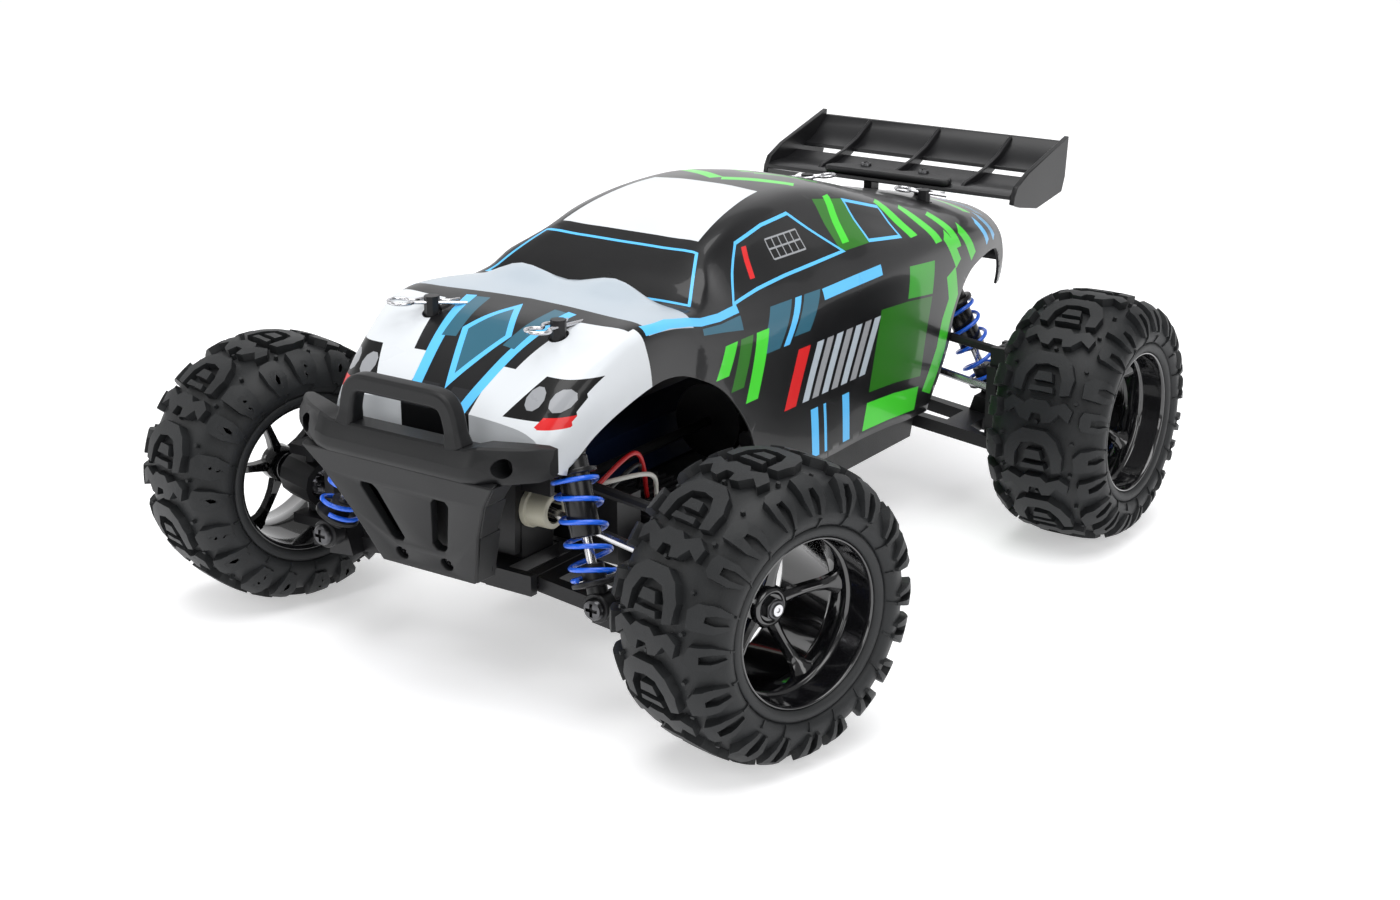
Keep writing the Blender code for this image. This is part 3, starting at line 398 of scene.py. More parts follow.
def build_tyre(corner, side, end):
    place = wheel_matrix(side, end)
    contour = Contour(CARCASS)
    work = bmesh.new()
    section = [(p.y, p.x) for p in contour.points]
    section = [(r, -a) for r, a in reversed(section[1:])] + section
    lathe(work, section, 120, place, closed=False)
    direction = -side
    for unit in range(LUG_UNITS):
        turn = 2 * math.pi * unit / LUG_UNITS + 0.2 * (1 + end)
        for outline in (HORSESHOE, HORSESHOE_CORE, HORSESHOE_BAR, WINGED_BLOCK):
            add_lug(work, outline, contour, place, turn, direction)
        for hand in (1, -1):
            for outline in (SHOULDER_CLAW, SHOULDER_FORK, *SIDE_RIBS):
                add_lug(work, [(hand * u, s) for u, s in outline], contour, place, turn, direction)
            for across, along in TREAD_DOTS[:2]:
                add_dot(work, hand * across, along, contour, place, turn, direction)
        add_dot(work, *TREAD_DOTS[2], contour, place, turn, direction)
    tyre = make(f"tyre_tread_{corner}", work, [RUBBER], f"wheel_{corner}", 28.0, [f"tyre_{corner}"])
    soften(tyre, 0.22, 1, 40.0)
    work = bmesh.new()
    for hand in (1, -1):
        bead = [(28.3, 19.1), (27.9, 19.7), (27.3, 19.9), (26.2, 19.75), (25.2, 19.3), (24.9, 18.6),
                (25.3, 17.0), (28.0, 17.0)]
        lathe(work, [(r, hand * z) for r, z in bead], 96, place)
    make(f"tyre_bead_{corner}", work, [BEAD_RUBBER], f"wheel_{corner}", 50.0)


def add_spoke(work, angle, place):
    """Slim spoke with a raised spine that climbs from the sunken hub and spreads at the barrel."""
    stations = [(4.6, 2.9, 2.5), (6.5, 3.0, 2.1), (9.5, 3.2, 1.7), (13, 3.9, 1.5), (16.5, 5.0, 1.55),
                (19.2, 6.3, 1.9), (21.2, 7.7, 2.9), (22.7, 8.9, 4.4)]
    turn = place @ Matrix.Rotation(angle, 4, "Z")
    rows = []
    for radius, top, half in stations:
        section = [(-half, -1.3), (-half * 0.3, 0.0), (half * 0.3, 0.0), (half, -1.3), (half * 0.75, -4.0),
                   (-half * 0.75, -4.0)]
        rows.append([turn @ Vector((radius, y, top + z)) for y, z in section])
    made = ring_rows(work, rows)
    cap_ends(work, made)


def build_rim(corner, side, end):
    place = wheel_matrix(side, end)
    work = bmesh.new()
    barrel = [(25.0, 18.3), (24.7, 18.8), (24.3, 18.9), (24.0, 18.5), (23.8, 17.4), (23.5, 11.2),
              (23.2, 10.6), (22.6, 10.3), (22.4, 9.8), (22.2, 4.6), (22.6, 3.4), (23.1, 2.6), (23.3, -16.6),
              (23.8, -17.9), (24.6, -18.4), (25.3, -18.0), (25.3, 17.6)]
    lathe(work, barrel, 96, place)
    hub = [(2.3, -6.6), (5.2, -6.6), (5.6, -6.0), (6.2, 1.0), (6.3, 2.4), (5.7, 3.5), (4.9, 3.9), (4.4, 3.9),
           (4.1, 3.3), (2.3, 3.3)]
    lathe(work, hub, 48, place)
    for i in range(5):
        add_spoke(work, math.radians(SPOKE_PHASE[corner]) + 2 * math.pi * i / 5, place)
    make(f"rim_dish_{corner}", work, [WHEEL_GLOSS], f"wheel_{corner}", 35.0, [f"rim_{corner}"], bevel=0.25)
    work = bmesh.new()
    joint = -KINGPIN_INSET
    axle = [(0, joint + 3.5), (4.1, joint + 3.5), (4.1, joint - 3.0), (5.0, joint - 3.0), (5.0, joint + 5.5),
            (2.0, joint + 5.5), (2.0, 5.9), (1.7, 6.4), (0.7, 6.4), (0.5, 6.1), (0, 6.1)]
    lathe(work, axle, 28, place, closed=False)
    make(f"axle_shaft_{corner}", work, [STEEL], f"wheel_{corner}", 35.0, [f"axle_{corner}"])
    work = bmesh.new()
    hexagon = [(3.5 * math.cos(math.pi * k / 3), 3.5 * math.sin(math.pi * k / 3)) for k in range(6)]
    slab(work, hexagon, place @ Matrix.Translation((0, 0, 3.2)), 2.2)
    lathe(work, [(2.05, 5.3), (3.0, 5.3), (2.7, 5.9), (2.05, 5.9)], 28, place)
    make(f"wheel_nut_{corner}", work, [DARK_STEEL], f"wheel_{corner}", 35.0, bevel=0.2)


# ---------------------------------------------------------------- body shell
# Each station: y, then (x, z) points up the left side, from the lower edge to the centre line.
STATIONS = [
    (-131, [(37, 77.5), (38, 79.5), (38.5, 81.5), (38.5, 83.5), (37.5, 85.5),
            (35.5, 87), (31, 88.5), (22, 89.5), (11, 90), (0, 90)]),
    (-127, [(39.5, 76.5), (40.5, 79), (41, 82), (41, 85), (40, 88),
            (38, 90.5), (33.5, 92.5), (24, 93.5), (12, 93.5), (0, 93.5)]),
    (-121, [(41, 74), (42, 78), (42.5, 82), (42.5, 87), (42, 91.5),
            (40, 95.5), (36, 98), (27, 98.5), (13, 98), (0, 98)]),
    (-112, [(42, 74), (43, 80), (43.8, 86), (44, 92), (43.5, 97.5),
            (42, 101.5), (38, 104.5), (29, 104.5), (14, 104), (0, 103.5)]),
    (-101, [(43, 76), (44, 83), (45, 89), (45.8, 96), (45.5, 102.5),
            (44.5, 107), (41, 109.5), (31, 109.3), (14, 109), (0, 109)]),
    (-90, [(43.5, 78), (44.8, 85), (46, 91), (46.8, 98), (46.6, 104.5),
           (45.5, 109.5), (41.5, 111.5), (31, 111.5), (15, 111.5), (0, 111.3)]),
    (-78, [(43.5, 74), (45, 84), (46.5, 91), (47, 98), (46.8, 104),
           (45.6, 109), (41.5, 111.3), (31, 112.3), (16, 113.5), (0, 113)]),
    (-67, [(43, 70), (45, 81), (46.5, 89), (47, 96), (46.6, 102),
           (45.2, 107), (41.5, 110), (32, 112), (18, 117), (0, 114.2)]),
    (-60.5, [(42.5, 62), (44.5, 76), (46, 86), (46.6, 94), (46.3, 100.5),
             (45, 105.5), (42.5, 109), (32, 109.2), (18, 109.2), (0, 109.2)]),
    (-50, [(42, 50), (44.2, 70), (45.8, 82), (46.4, 92), (46, 99),
           (44.5, 104.5), (41, 111), (36.5, 115), (18, 115.8), (0, 115.8)]),
    (-38, [(41.5, 41), (43.8, 60), (45.4, 76), (46.2, 88), (45.8, 97),
           (43.5, 104.5), (38, 112.5), (30.5, 121.4), (16, 122), (0, 122)]),
    (-24, [(41, 39.5), (43.5, 57), (45.2, 74), (46.2, 87), (45.8, 97),
           (42.5, 106), (36, 116), (29.5, 125.6), (15, 127.4), (0, 127.8)]),
    (-8, [(41, 39.3), (43.5, 56), (45.3, 73), (46.6, 87), (46.3, 97.5),
          (42.5, 107), (35.5, 118), (28.5, 128.2), (14.5, 130.4), (0, 130.8)]),
    (8, [(41, 39.2), (43.5, 56), (45.5, 73), (47.2, 87), (47, 98),
         (43, 107.5), (35.5, 118.5), (28, 129), (14, 131.4), (0, 131.8)]),
    (26, [(41, 39.2), (43.6, 56), (45.8, 73), (47.6, 88), (47.4, 98.5),
          (43.5, 108), (35.5, 118.5), (28, 128.4), (14, 130.8), (0, 131.2)]),
    (44, [(41, 39.4), (43.6, 56), (46, 73), (48, 88), (48, 99),
          (44.5, 108), (36.5, 117), (29, 125.5), (15, 128.2), (0, 128.8)]),
    (62, [(41.3, 39), (43.8, 55), (46, 72), (48.2, 87), (48.4, 98.5),
          (46, 106), (39.5, 112.5), (31, 120.3), (16, 123.6), (0, 124.3)]),
    (80, [(41.6, 38), (44, 53), (46, 70), (48, 85), (48.4, 97),
          (47, 104), (42, 109), (32, 115), (17, 118.4), (0, 119.2)]),
    (98, [(41.8, 40), (44, 52), (45.8, 68), (47.5, 83), (48, 94.5),
          (47, 101.5), (42.5, 106.5), (32, 111), (17, 113.6), (0, 114.4)]),
    (116, [(42, 60), (43.8, 68), (45, 76), (46.2, 85), (46.8, 93),
           (46, 99), (41.5, 104.5), (31, 108), (16, 110), (0, 110.6)]),
    (132, [(42, 70), (43, 76), (43.8, 82), (44.4, 88), (44.2, 94),
           (42.8, 98.5), (38, 102.5), (29, 105), (15, 106.5), (0, 107)]),
    (146, [(41, 75), (41.8, 79), (42.2, 83), (42, 88), (41, 92.5),
           (38.5, 96.5), (34, 100), (26, 102.5), (13, 103.5), (0, 104)]),
]
FRONT_ARCH = [(-122, 76.8), (-112, 84), (-101, 89), (-88, 93), (-78, 93.5), (-68, 91), (-52, 83.5),
              (-41, 74.5), (-31, 63), (-25, 50), (-23.5, 36)]
REAR_ARCH = [(89.5, 36), (92.5, 45), (99, 60.5), (100.2, 71), (103.4, 79), (110, 86.3), (121, 89.5),
             (135, 90), (140, 86), (143, 77), (144, 60)]
FRONT_POST = (24.0, -103.0)
REAR_POST = (25.1, 113.7)
TAIL_PANEL_FROM = 2
ACROSS_STEPS = 4

# A plain generic livery in the truck's colours. Its areas are worked out from the stations and the arches.
NOSE, TAIL = STATIONS[0][0], STATIONS[-1][0]
NOSE_HALF = max(x for x, _ in STATIONS[0][1])
NOSE_TOP = STATIONS[0][1][-1][1]
COWL, SCREEN_FOOT, SCREEN_TOP = STATIONS[5][0], STATIONS[8][0], STATIONS[10][0]
FOOT_HALF, TOP_HALF = STATIONS[8][1][6][0], STATIONS[10][1][7][0]
ROOF_END, WINDOW_END, QUARTER, QUARTER_END = (STATIONS[i][0] for i in (13, 14, 15, 17))
FENDER_BACK = -HALF_BASE + 8
SILL = 64                  # lower edge of the door's bars
BEYOND = 8                 # how far an area reaches past the shell's edge
LEAN = 5
ONE = (1,)
BOTH = (1, -1)


def circle(centre, radius, count=20):
    return [(centre[0] + radius * math.cos(2 * math.pi * i / count),
             centre[1] + radius * math.sin(2 * math.pi * i / count)) for i in range(count)]


def turned_points(points, closed):
    """Each point with the mean direction through it and how far a mitre reaches there."""
    steps = [(b - a).normalized() for a, b in zip(points, points[1:] + points[:1])]
    for i, here in enumerate(points):
        into = steps[i - 1] if closed or i else steps[0]
        onward = steps[i] if closed or i < len(points) - 1 else into
        along = (into + onward).normalized()
        yield here, along, 1 / max(along.dot(into), 0.4)


def stripe(path, width):
    """Outline of a band of even width along a path."""
    left, right = [], []
    for here, along, reach in turned_points([Vector(point) for point in path], False):
        across = Vector((-along.y, along.x)) * (width / 2 * reach)
        left.append(tuple(here + across))
        right.append(tuple(here - across))
    return left + right[::-1]


def grown(outline, by):
    """An outline moved outwards by an even distance, or inwards where that is negative."""
    points = [Vector(point) for point in outline]
    area = sum(a.x * b.y - b.x * a.y for a, b in zip(points, points[1:] + points[:1]))
    out = math.copysign(by, area * by)
    return [tuple(here + Vector((along.y, -along.x)) * (out * reach))
            for here, along, reach in turned_points(points, True)]


def bordered(paint, border, view, hands, outline, width=1.0):
    return [(border, view, hands, grown(outline, width)), (paint, view, hands, outline)]


def row_of(paint, view, hands, path, width, count, step):
    """Equal stripes in a row, each a step further along the view's first axis."""
    return [(paint, view, hands, stripe([(a + k * step, b) for a, b in path], width)) for k in range(count)]


def rail(number, front, back, lift=0.0):
    """Side-view points along one lengthwise line of the shell, which is numbered up from its lower edge."""
    return [(y, half[number][1] + lift) for y, half in STATIONS if front <= y <= back]


def band(low, high, front, back, inset=0.0):
    """Area between two lengthwise lines of the shell."""
    return rail(low, front, back, inset) + rail(high, front, back, -inset)[::-1]


def leaning(y, low, high, width, lean=LEAN):
    """Upright bar whose top is further back than its foot."""
    return [(y, low), (y + width, low), (y + width + lean, high), (y + lean, high)]


def nose_livery():
    """White cheeks and fenders, with a lamp on each side and a grille."""
    inner, front = NOSE_HALF / 3, NOSE - BEYOND
    lamp_low, lamp_high, edge = NOSE_TOP + 1, NOSE_TOP + 11, NOSE_HALF + 2 * BEYOND
    cheek = [(inner, 60), (inner, lamp_high), (edge, lamp_high), (edge, 60)]
    fender_top = [(inner, front), (2 * inner, FENDER_BACK), (edge, FENDER_BACK), (edge, front)]
    fender_side = [(front, 60), (front, 120), (FENDER_BACK, 120), (FENDER_BACK + 3 * LEAN, 60)]
    areas = [("white", "front", BOTH, cheek),
             ("white", "top", BOTH, fender_top),
             ("white", "side", BOTH, fender_side),
             ("black", "front", BOTH, [(24, lamp_low), (31, lamp_high), (edge, lamp_high), (edge, lamp_low)]),
             ("black", "side", BOTH, leaning(front, lamp_low, lamp_high, 16, 4)),
             ("red", "front", BOTH, stripe([(38, lamp_low - 0.5), (edge, lamp_low - 0.5)], 3)),
             ("red", "side", BOTH, stripe([(front, lamp_low - 0.5), (NOSE + 9, lamp_low - 0.5)], 3))]
    lamps = [(x, (lamp_low + lamp_high) / 2) for x in (31.5, 39)]
    areas += [("silver", "front", BOTH, circle(centre, 2.9, 10)) for centre in lamps]
    grille = [(2.5, lamp_low - 2), (inner, lamp_low - 2), (inner, lamp_low + 4), (2.5, lamp_low + 4)]
    return areas + [("mesh", "front", BOTH, grille)]


def hood_livery():
    """Sky-blue stripes that open from the nose, a bordered kite between them and a pale cowl."""
    middle = (NOSE + COWL) / 2
    kite = mirrored([(0, middle - 11), (7, middle + 4), (0, middle + 17)])
    cowl = mirrored([(0, SCREEN_FOOT - 5), (60, SCREEN_FOOT - 5), (60, COWL), (0, COWL + 5)])
    areas = [("sky", "top", BOTH, stripe([(NOSE_HALF / 5, NOSE - BEYOND), (NOSE_HALF / 2, COWL)], 3.6)),
             ("teal", "top", BOTH, stripe([(NOSE_HALF / 3.4, middle), (NOSE_HALF / 2.6, COWL)], 5))]
    areas += bordered("teal", "sky", "top", ONE, kite, 2)
    return areas + [("pale", "top", ONE, cowl)]


def roof_livery():
    """Bordered windscreen, white roof, chevrons behind it and bars on the tail deck."""
    screen = mirrored([(0, SCREEN_TOP), (TOP_HALF, SCREEN_TOP), (FOOT_HALF, SCREEN_FOOT), (0, SCREEN_FOOT)])
    roof = mirrored([(0, SCREEN_TOP + 3), (TOP_HALF - 4, SCREEN_TOP + 3), (TOP_HALF - 10, ROOF_END),
                     (0, ROOF_END)])
    areas = bordered("glass", "sky", "top", ONE, grown(screen, -2.5)) + [("white", "top", ONE, roof)]
    for k, paint in enumerate(("green", "mid_green", "dark_green", "green")):
        front = ROOF_END + 8 + 20 * k
        areas.append((paint, "top", BOTH, stripe([(1, front), (22 - 3 * k, front + 12)], 5)))
    for k, paint in enumerate(("sky", "green")):
        back = TAIL - 4 - 10 * k
        areas.append((paint, "top", BOTH, stripe([(16, back), (37, back - 7)], 4)))
    return areas


def window_livery():
    """Bordered side windows, barred at the back, and green panels and bars behind them."""
    front = rail(5, SCREEN_TOP, WINDOW_END, 2.5) + rail(7, SCREEN_TOP + 14, ROOF_END, -4.5)[::-1]
    rear = band(5, 7, QUARTER, QUARTER + 18, 3)
    panel = band(5, 7, WINDOW_END, QUARTER, 2)
    areas = [("dark_green", "side", BOTH, panel)]
    areas += bordered("glass", "sky", "side", BOTH, front) + bordered("glass", "sky", "side", BOTH, rear)
    low, high = front[0][1] + 4, front[0][1] + 13
    areas += [("red", "side", BOTH, leaning(SCREEN_TOP + 13, low, high, 2.6, 3)),
              ("green", "side", BOTH, leaning(WINDOW_END + 3, low + 1, high + 6, 4, 4))]
    areas += [("silver", "side", BOTH, stripe([(-9, low + z), (9, low + z)], 0.5)) for z in (3, 6, 9)]
    areas += row_of("silver", "side", BOTH, [(-9, low + 3), (-9, low + 9)], 0.5, 6, 3.6)
    for k in range(3):
        top = 119 - 4.5 * k
        areas.append(("green", "side", BOTH, leaning(QUARTER + 24 + 14 * k, top - 12, top, 5, -LEAN)))
    return areas


def flank_livery():
    """Lines along the shoulder, leaning flashes ahead of the door, bars along it and stripes on the skirt."""
    areas = [("sky", "side", BOTH, stripe(rail(5, COWL, SCREEN_TOP, 0.5), 2.4)),
             ("teal", "side", BOTH, band(4, 5, SCREEN_FOOT, SCREEN_TOP, 1.5)),
             ("teal", "side", BOTH, leaning(-30, 88, 102, 12, 9)),
             ("sky", "side", BOTH, leaning(-16, 88, 102, 3.5, 9)),
             ("teal", "side", BOTH, leaning(-10, 90, 102, 9, 8)),
             ("sky", "side", BOTH, stripe(rail(4, ROOF_END, QUARTER, 2), 3.6))]
    for k, paint in enumerate(("green", "dark_green", "green")):
        areas.append((paint, "side", BOTH, leaning(-54 + 9 * k, 86 - 6 * k, 96, 7)))
    areas.append(("red", "side", BOTH, leaning(-12, SILL + 1, SILL + 21, 7)))
    for k in range(7):
        areas.append(("silver" if k % 2 else "pale", "side", BOTH,
                      leaning(-1 + 6 * k, SILL + 1, SILL + 21, 4)))
    skirt = [(11, 4.5), (19, 1.6), (31, 4.5)]
    areas += [("sky", "side", BOTH, leaning(y, 42, SILL - 3, width, -6)) for y, width in skirt]
    return areas


def quarter_livery():
    """Green rear quarter, a bright band that follows the arch, and stripes at the tail."""
    edge = [(y - 6, z + 1) for y, z in REAR_ARCH[1:5]]
    areas = [("dark_green", "side", BOTH, band(1, 3, QUARTER, QUARTER_END, 1)),
             ("mid_green", "side", BOTH, band(3, 4, QUARTER + 3, QUARTER_END, 0)),
             ("green", "side", BOTH, band(0, 1, QUARTER, QUARTER_END, 3)),
             ("green", "side", BOTH, stripe([(edge[-1][0] - 4, edge[-1][1] + 10)] + edge[::-1], 7))]
    areas += row_of("green", "side", BOTH, [(90, 104), (99, 92)], 4.5, 2, 13)
    return areas + row_of("sky", "side", BOTH, [(121, 103), (127, 94)], 3, 2, 8)


VIEW_AXES = {"top": (0, 1), "side": (1, 2), "front": (0, 2)}


def in_outline(a, b, outline):
    inside = False
    for (a0, b0), (a1, b1) in zip(outline, outline[1:] + outline[:1]):
        if (b0 > b) != (b1 > b) and a < (a1 - a0) * (b - b0) / (b1 - b0) + a0:
            inside = not inside
    return inside


def faces_view(face, view, hand):
    """Whether a face of the shell looks towards the view. The side view may be of either hand."""
    if view == "top":
        return face.normal.z > 0.35
    if view == "front":
        return face.normal.y < -0.3
    return face.normal.x * hand > 0.3


def with_rims(faces):
    """The faces with their corners and edges, which a cut needs as well."""
    return list({v for f in faces for v in f.verts}) + list({e for f in faces for e in f.edges}) + faces


def cut_area(work, outline, view, hand=1):
    """Cuts the sheet along an outline drawn in a view and returns the faces inside it."""
    first, second = VIEW_AXES[view]
    work.normal_update()
    low = [min(p[i] for p in outline) - 4 for i in (0, 1)]
    high = [max(p[i] for p in outline) + 4 for i in (0, 1)]
    near = []
    for face in work.faces:
        centre = face.calc_center_bounds()
        in_reach = low[0] < centre[first] < high[0] and low[1] < centre[second] < high[1]
        if in_reach and faces_view(face, view, hand):
            near.append(face)
    for (a0, b0), (a1, b1) in zip(outline, outline[1:] + outline[:1]):
        start, run = Vector((a0, b0)), Vector((a1 - a0, b1 - b0))
        close, others = [], []
        for face in near:
            centre = face.calc_center_bounds()
            here = Vector((centre[first], centre[second])) - start
            share = min(max(here.dot(run) / run.length_squared, 0.0), 1.0)
            reach = max((v.co - centre).length for v in face.verts)
            (close if (here - run * share).length <= reach else others).append(face)
        point, normal = Vector(), Vector()
        point[first], point[second] = a0, b0
        normal[first], normal[second] = -run.y, run.x
        parts = with_rims(close)
        cut = bmesh.ops.bisect_plane(work, geom=parts, dist=1e-4, plane_co=point, plane_no=normal)
        near = others + [g for g in cut["geom"] if isinstance(g, bmesh.types.BMFace)]
    inside = []
    for face in near:
        centre = face.calc_center_median()
        if in_outline(centre[first], centre[second], outline):
            inside.append(face)
    return inside


def fine_row(half):
    """One station's points right across the truck, smoothed between the given ones."""
    row = [Vector((x, z, 0)) for x, z in half] + [Vector((-x, z, 0)) for x, z in reversed(half[:-1])]
    return [(p.x, p.y) for p in smooth_path(row, ACROSS_STEPS)]


def divide_panel(work, panel, step):
    """Divides a flat end panel into squares, so that painted areas can be cut into it."""
    pieces = [panel]
    for axis in (0, 2):
        reach = [v.co[axis] for f in pieces for v in f.verts]
        cut, highest = min(reach) + step, max(reach)
        while cut < highest - 0.5:
            point, normal = Vector(), Vector()
            point[axis], normal[axis] = cut, 1.0
            parts = with_rims(pieces)
            done = bmesh.ops.bisect_plane(work, geom=parts, dist=1e-4, plane_co=point, plane_no=normal)
            pieces = [g for g in done["geom"] if isinstance(g, bmesh.types.BMFace)]
            cut += step


def shell_sheet():
    """Outer skin as one open sheet, with a nose panel and a tail panel."""
    coarse = [[Vector((x, y, z)) for x, z in fine_row(half)] for y, half in STATIONS]
    before = [2 * a - b for a, b in zip(coarse[0], coarse[1])]
    after = [2 * a - b for a, b in zip(coarse[-1], coarse[-2])]
    line = [before] + coarse + [after]
    rows = []
    for i in range(1, len(line) - 2):
        steps = max(1, round((line[i + 1][0].y - line[i][0].y) / 2.4))
        fours = list(zip(*line[i - 1:i + 3]))
        for k in range(steps):
            rows.append([catmull(*four, k / steps) for four in fours])
    rows.append(coarse[-1])
    work = bmesh.new()
    made = ring_rows(work, rows, closed_round=False)
    lowest = TAIL_PANEL_FROM * ACROSS_STEPS
    for edge in (list(reversed(made[0])), made[-1][lowest:len(made[-1]) - lowest]):
        divide_panel(work, work.faces.new(edge), 3.6)
    bmesh.ops.recalc_face_normals(work, faces=work.faces)
    work.faces.ensure_lookup_table()
    roof = max(work.faces, key=lambda f: f.calc_center_median().z)
    if roof.normal.z < 0:
        bmesh.ops.reverse_faces(work, faces=work.faces)
    return work


def build_shell():
    """Thin painted body. Arches, post holes and wing slots are cut out, then the paint areas are cut in."""
    work = shell_sheet()
    for hand in (1, -1):
        for arch in (FRONT_ARCH, REAR_ARCH):
            curve = [(p.x, p.y) for p in smooth_path([Vector((y, z, 0)) for y, z in arch], 5)]
            outline = [(curve[0][0], 20)] + curve + [(curve[-1][0], 20)]
            bmesh.ops.delete(work, geom=cut_area(work, outline, "side", hand), context="FACES")
        for x, y in (FRONT_POST, REAR_POST):
            hole = circle((hand * x, y), 3.1)
            bmesh.ops.delete(work, geom=cut_area(work, hole, "top"), context="FACES")
        slot = [(hand * x, y) for x, y in ((8.2, 134), (13.8, 134), (13.8, 141.6), (8.2, 141.6))]
        bmesh.ops.delete(work, geom=cut_area(work, slot, "top"), context="FACES")
    names = list(PAINTS)
    livery = (nose_livery() + hood_livery() + roof_livery() + window_livery() + flank_livery()
              + quarter_livery())
    for paint, view, hands, outline in livery:
        for hand in hands:
            drawn = outline if view == "side" else [(hand * a, b) for a, b in outline]
            for face in cut_area(work, drawn, view, hand):
                face.material_index = names.index(paint)
    shell = make("body_shell_skin", work, list(PAINTS.values()), "chassis", 32.0, ["body_shell"])
    wall = shell.modifiers.new("wall", "SOLIDIFY")
    wall.thickness = 1.0 * MM
    wall.offset = -1.0
    wall.material_offset = len(names) - 1
    wall.material_offset_rim = len(names) - 1


# ---------------------------------------------------------------- suspension details
SHOCK_TOP = Vector((34.0, 10.7, 83.0))
SHOCK_FOOT = Vector((52.5, 20.0, 37.5))
SHOCK_REACH = (SHOCK_FOOT - SHOCK_TOP).length
SHOCK_CUP = SHOCK_REACH - 7.5
ARM_INNER = (20.0, 34.7)
LINK_OUTER = (66.0, 60.8)
DRIVE_INNER = (17.0, 53.5)


def corner_matrix(side, end):
    """From corner coordinates (out from the centre line, beyond the axle line, up) to the truck's frame."""
    flip = Matrix.Diagonal((side, end, 1, 1))
    return Matrix.Translation((0, end * HALF_BASE, 0)) @ flip


def carve(obj, cutter):
    """Cuts a closed bmesh, in millimetres, out of a finished piece."""
    bmesh.ops.recalc_face_normals(cutter, faces=cutter.faces)
    bmesh.ops.scale(cutter, vec=(MM, MM, MM), verts=cutter.verts)
    mesh = bpy.data.meshes.new("cutter")
    cutter.to_mesh(mesh)
    cutter.free()
    tool = bpy.data.objects.new("cutter", mesh)
    bpy.context.scene.collection.objects.link(tool)
    cut = obj.modifiers.new("cut", "BOOLEAN")
    cut.operation = "DIFFERENCE"
    cut.solver = "EXACT"
    cut.object = tool
    bpy.context.view_layer.update()
    shape = bpy.data.meshes.new_from_object(obj.evaluated_get(bpy.context.evaluated_depsgraph_get()))
    obj.modifiers.clear()
    obj.data = shape
    bpy.data.objects.remove(tool)


def add_rod(work, start, end, radius, segments=20):
    start, end = Vector(start), Vector(end)
    length = (end - start).length
    lathe(work, [(0, 0), (radius, 0), (radius, length), (0, length)], segments,
          frame_along(start, end - start), closed=False)


def add_block(work, low, high):
    slab(work, [(low[0], low[1]), (high[0], low[1]), (high[0], high[1]), (low[0], high[1])],
         Matrix.Translation((0, 0, low[2])), high[2] - low[2])


def build_screw(name, centre, direction, radius, finish, body):
    """Pan-head screw with a cross recess, its head standing on the surface at the centre."""
    place = frame_along(centre, direction)
    work = bmesh.new()
    high = radius * 0.62
    lathe(work, [(0, -1.5), (radius * 0.5, -1.5), (radius * 0.5, 0), (radius, 0), (radius, high * 0.45),
                 (radius * 0.86, high * 0.8), (radius * 0.5, high), (0, high)], 28, place, closed=False)
    head = make(name, work, [finish], None, 35.0)
    cross = bmesh.new()
    arm, wide = radius * 0.62, radius * 0.16
    outline = [(arm, -wide), (arm, wide), (wide, wide), (wide, arm), (-wide, arm), (-wide, wide),
               (-arm, wide), (-arm, -wide), (-wide, -wide), (-wide, -arm), (wide, -arm), (wide, -wide)]
    slab(cross, outline, place @ Matrix.Translation((0, 0, high * 0.25)), high)
    carve(head, cross)
    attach(head, body)


def spring_path(place):
    """Coil from the body's collar to the rod's cup, with a closed turn at each end."""
    wire, coil = 0.75, 6.35
    low, high = 11.8 + wire, SHOCK_CUP - wire
    closed_rise = 2 * wire * 0.75
    stretches = [(0.75, closed_rise), (3.9, high - low - 2 * closed_rise), (0.75, closed_rise)]
    path, turned, height = [], 0.0, low
    for turns, rise in stretches:
        steps = round(turns * 28)
        for k in range(steps):
            angle = 2 * math.pi * (turned + turns * k / steps)
            spot = Vector((coil * math.cos(angle), coil * math.sin(angle), height + rise * k / steps))
            path.append(place @ spot)
        turned += turns
        height += rise
    return path, wire


